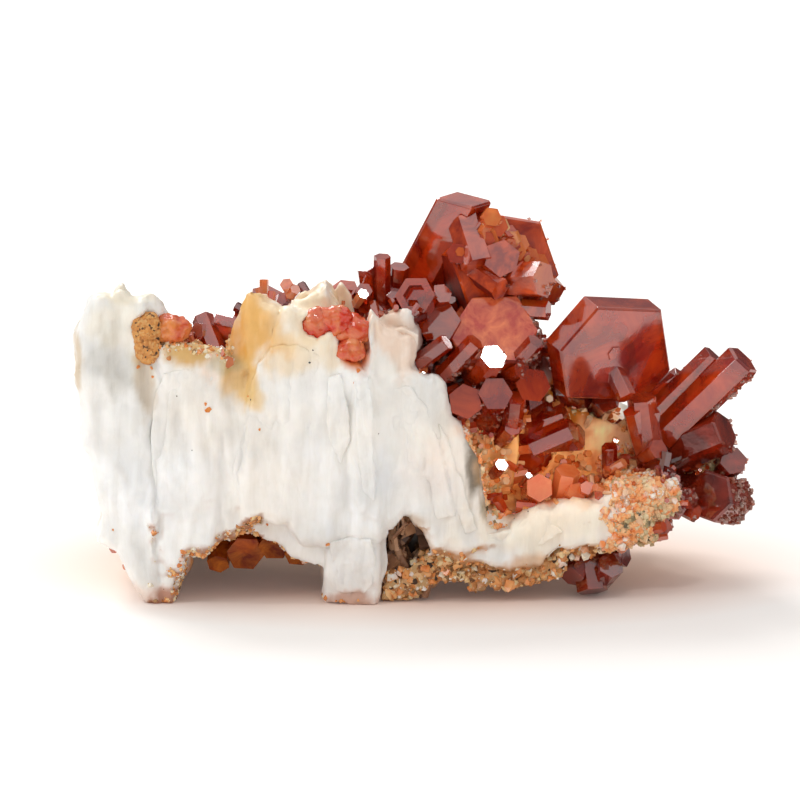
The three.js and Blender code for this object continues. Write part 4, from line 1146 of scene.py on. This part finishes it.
# The surface it stands on, with a painted warm shadow close to the specimen, the light tent and the
# camera.
bpy.ops.object.select_all(action="DESELECT")
bpy.ops.mesh.primitive_plane_add(size=4.0, location=(0, 0, 0))
floor = bpy.context.object
floor.name = "floor"
white, tree, paper = new_material("white_floor", {
    "Roughness": 0.9, "Emission Color": (1, 0.90, 0.85, 1), "Emission Strength": 0.05})
place = node(tree, "TexCoord").outputs["Object"]
under = node(tree, "Mapping", {"Scale": (1 / 0.040, 1 / 0.026, 1.0)}, {"Vector": place})
near = node(
    tree, "TexGradient", {}, {"Vector": under.outputs["Vector"]}, gradient_type="SPHERICAL")
# Painted shadow: the floor is darker and warmer close to the specimen, for its shadow and the warm
# light it throws.
painted_warm_shadow = ramp(tree, near.outputs["Fac"], [(0.0, (0.93, 0.90, 0.87)), (0.5, (0.82, 0.62, 0.52))])
tree.links.new(painted_warm_shadow, paper.inputs["Base Color"])
floor.data.materials.append(white)

# A dark card beside the specimen, seen only in the faces of its crystals, where it paints dark
# reflections of the shade beside the specimen: corners in mm.
CARD_CORNERS = [
    (80, -12), (54, -12.5), (49, -14.7), (45, -15.3), (43.4, -14.7), (41.4, -13.5), (39.4, -15.1),
    (41, -16.7), (41.2, -17.6), (39.8, -17.7), (37.6, -17.1), (34.3, -15.7), (32.5, -13), (34, -6),
    (38, 30), (80, 30)]
black, _, _ = new_material("painted_dark_reflection", {"Base Color": (0.01, 0.01, 0.01, 1)})
card_mesh = bpy.data.meshes.new("dark_card")
card_mesh.from_pydata(
    [(x * MM, y * MM, 0.3 * MM) for x, y in CARD_CORNERS], [], [tuple(range(len(CARD_CORNERS)))])
card = new_object("dark_card", card_mesh)
card.data.materials.append(black)
card.visible_camera = card.visible_diffuse = False
card.visible_transmission = card.visible_shadow = False

# The tent: white all round for the eye, but darker in front and to the right for the light
# that falls on the specimen.
world = bpy.data.worlds.new("tent")
bpy.context.scene.world = world
world.use_nodes = True
tree = world.node_tree
sky = tree.nodes["Background"]
sky.inputs["Color"].default_value = (1, 1, 1, 1)
toward = node(tree, "TexCoord").outputs["Generated"]
up = {"Value": node(tree, "SeparateXYZ", {}, {"Vector": toward}).outputs["Z"]}
lit = node(
    tree, "MapRange", {"From Min": -0.1, "From Max": 0.5, "To Min": 0.22, "To Max": 0.75}, up)
mirrored = node(
    tree, "MapRange", {"From Min": 0.35, "From Max": 0.75, "To Min": 0.10, "To Max": 1.15}, up)
ray = node(tree, "LightPath")
around = node(tree, "Mix", {}, {
    "Factor": ray.outputs["Is Glossy Ray"], "A": lit.outputs["Result"],
    "B": mirrored.outputs["Result"]})
strength = node(tree, "Mix", {"B": 1.0}, {
    "Factor": ray.outputs["Is Camera Ray"], "A": around.outputs["Result"]})
tree.links.new(strength.outputs["Result"], sky.inputs["Strength"])


def looking(direction):
    """The rotation of a light or camera that looks in that direction."""
    return direction.to_track_quat("-Z", "Y").to_euler()


middle = (cad_low + cad_high) / 2


def add_light(name, place, size, watts):
    lamp = bpy.data.lights.new(name, "AREA")
    lamp.shape = "RECTANGLE"
    lamp.size, lamp.size_y = size
    lamp.energy = watts
    light = new_object(name, lamp)
    light.location = place
    light.rotation_euler = looking(middle - Vector(place))
    return light


add_light("back_left_light", (-0.25, 0.35, 0.45), (0.30, 0.25), 2.2)
add_light("left_front_light", (-0.55, -0.28, 0.30), (0.20, 0.25), 0.9)
add_light("right_glint", (0.31, -0.13, 0.47), (0.055, 0.055), 0.35)
add_light("front_fill", (0.12, -0.62, 0.22), (0.20, 0.20), 0.22).visible_glossy = False

camera_data = bpy.data.cameras.new("camera")
camera_data.sensor_width = 36.0
camera_data.lens = 353.7
camera_data.clip_start = 0.01
camera = new_object("camera", camera_data)
CAMERA_DISTANCE = 0.7
target = Vector((-1.359, -2.017, 15.5)) * MM
elevation = math.radians(12)
to_camera = Vector((0, -math.cos(elevation), math.sin(elevation)))
camera.location = target + to_camera * CAMERA_DISTANCE
camera.rotation_euler = looking(-to_camera)
bpy.context.scene.camera = camera

# A small mirror in line with the camera throws warm light on the bed behind the shelf.
MIRROR_DISTANCE = 0.41
bed_middle = Vector((11.1, -9.1, 11.5)) * MM
mirror_lamp = bpy.data.lights.new("bed_mirror", "SPOT")
mirror_lamp.energy = 4.8
mirror_lamp.color = (1.0, 0.60, 0.32)
mirror_lamp.spot_size = math.radians(1.5)
mirror_lamp.spot_blend = 1.0
mirror_lamp.shadow_soft_size = 0.004
mirror = new_object("bed_mirror", mirror_lamp)
mirror.location = bed_middle + to_camera * MIRROR_DISTANCE
mirror.rotation_euler = looking(-to_camera)
mirror.scale = (1.5, 1.0, 1.0)
mirror.visible_glossy = False

bpy.context.scene.view_settings.view_transform = "Standard"
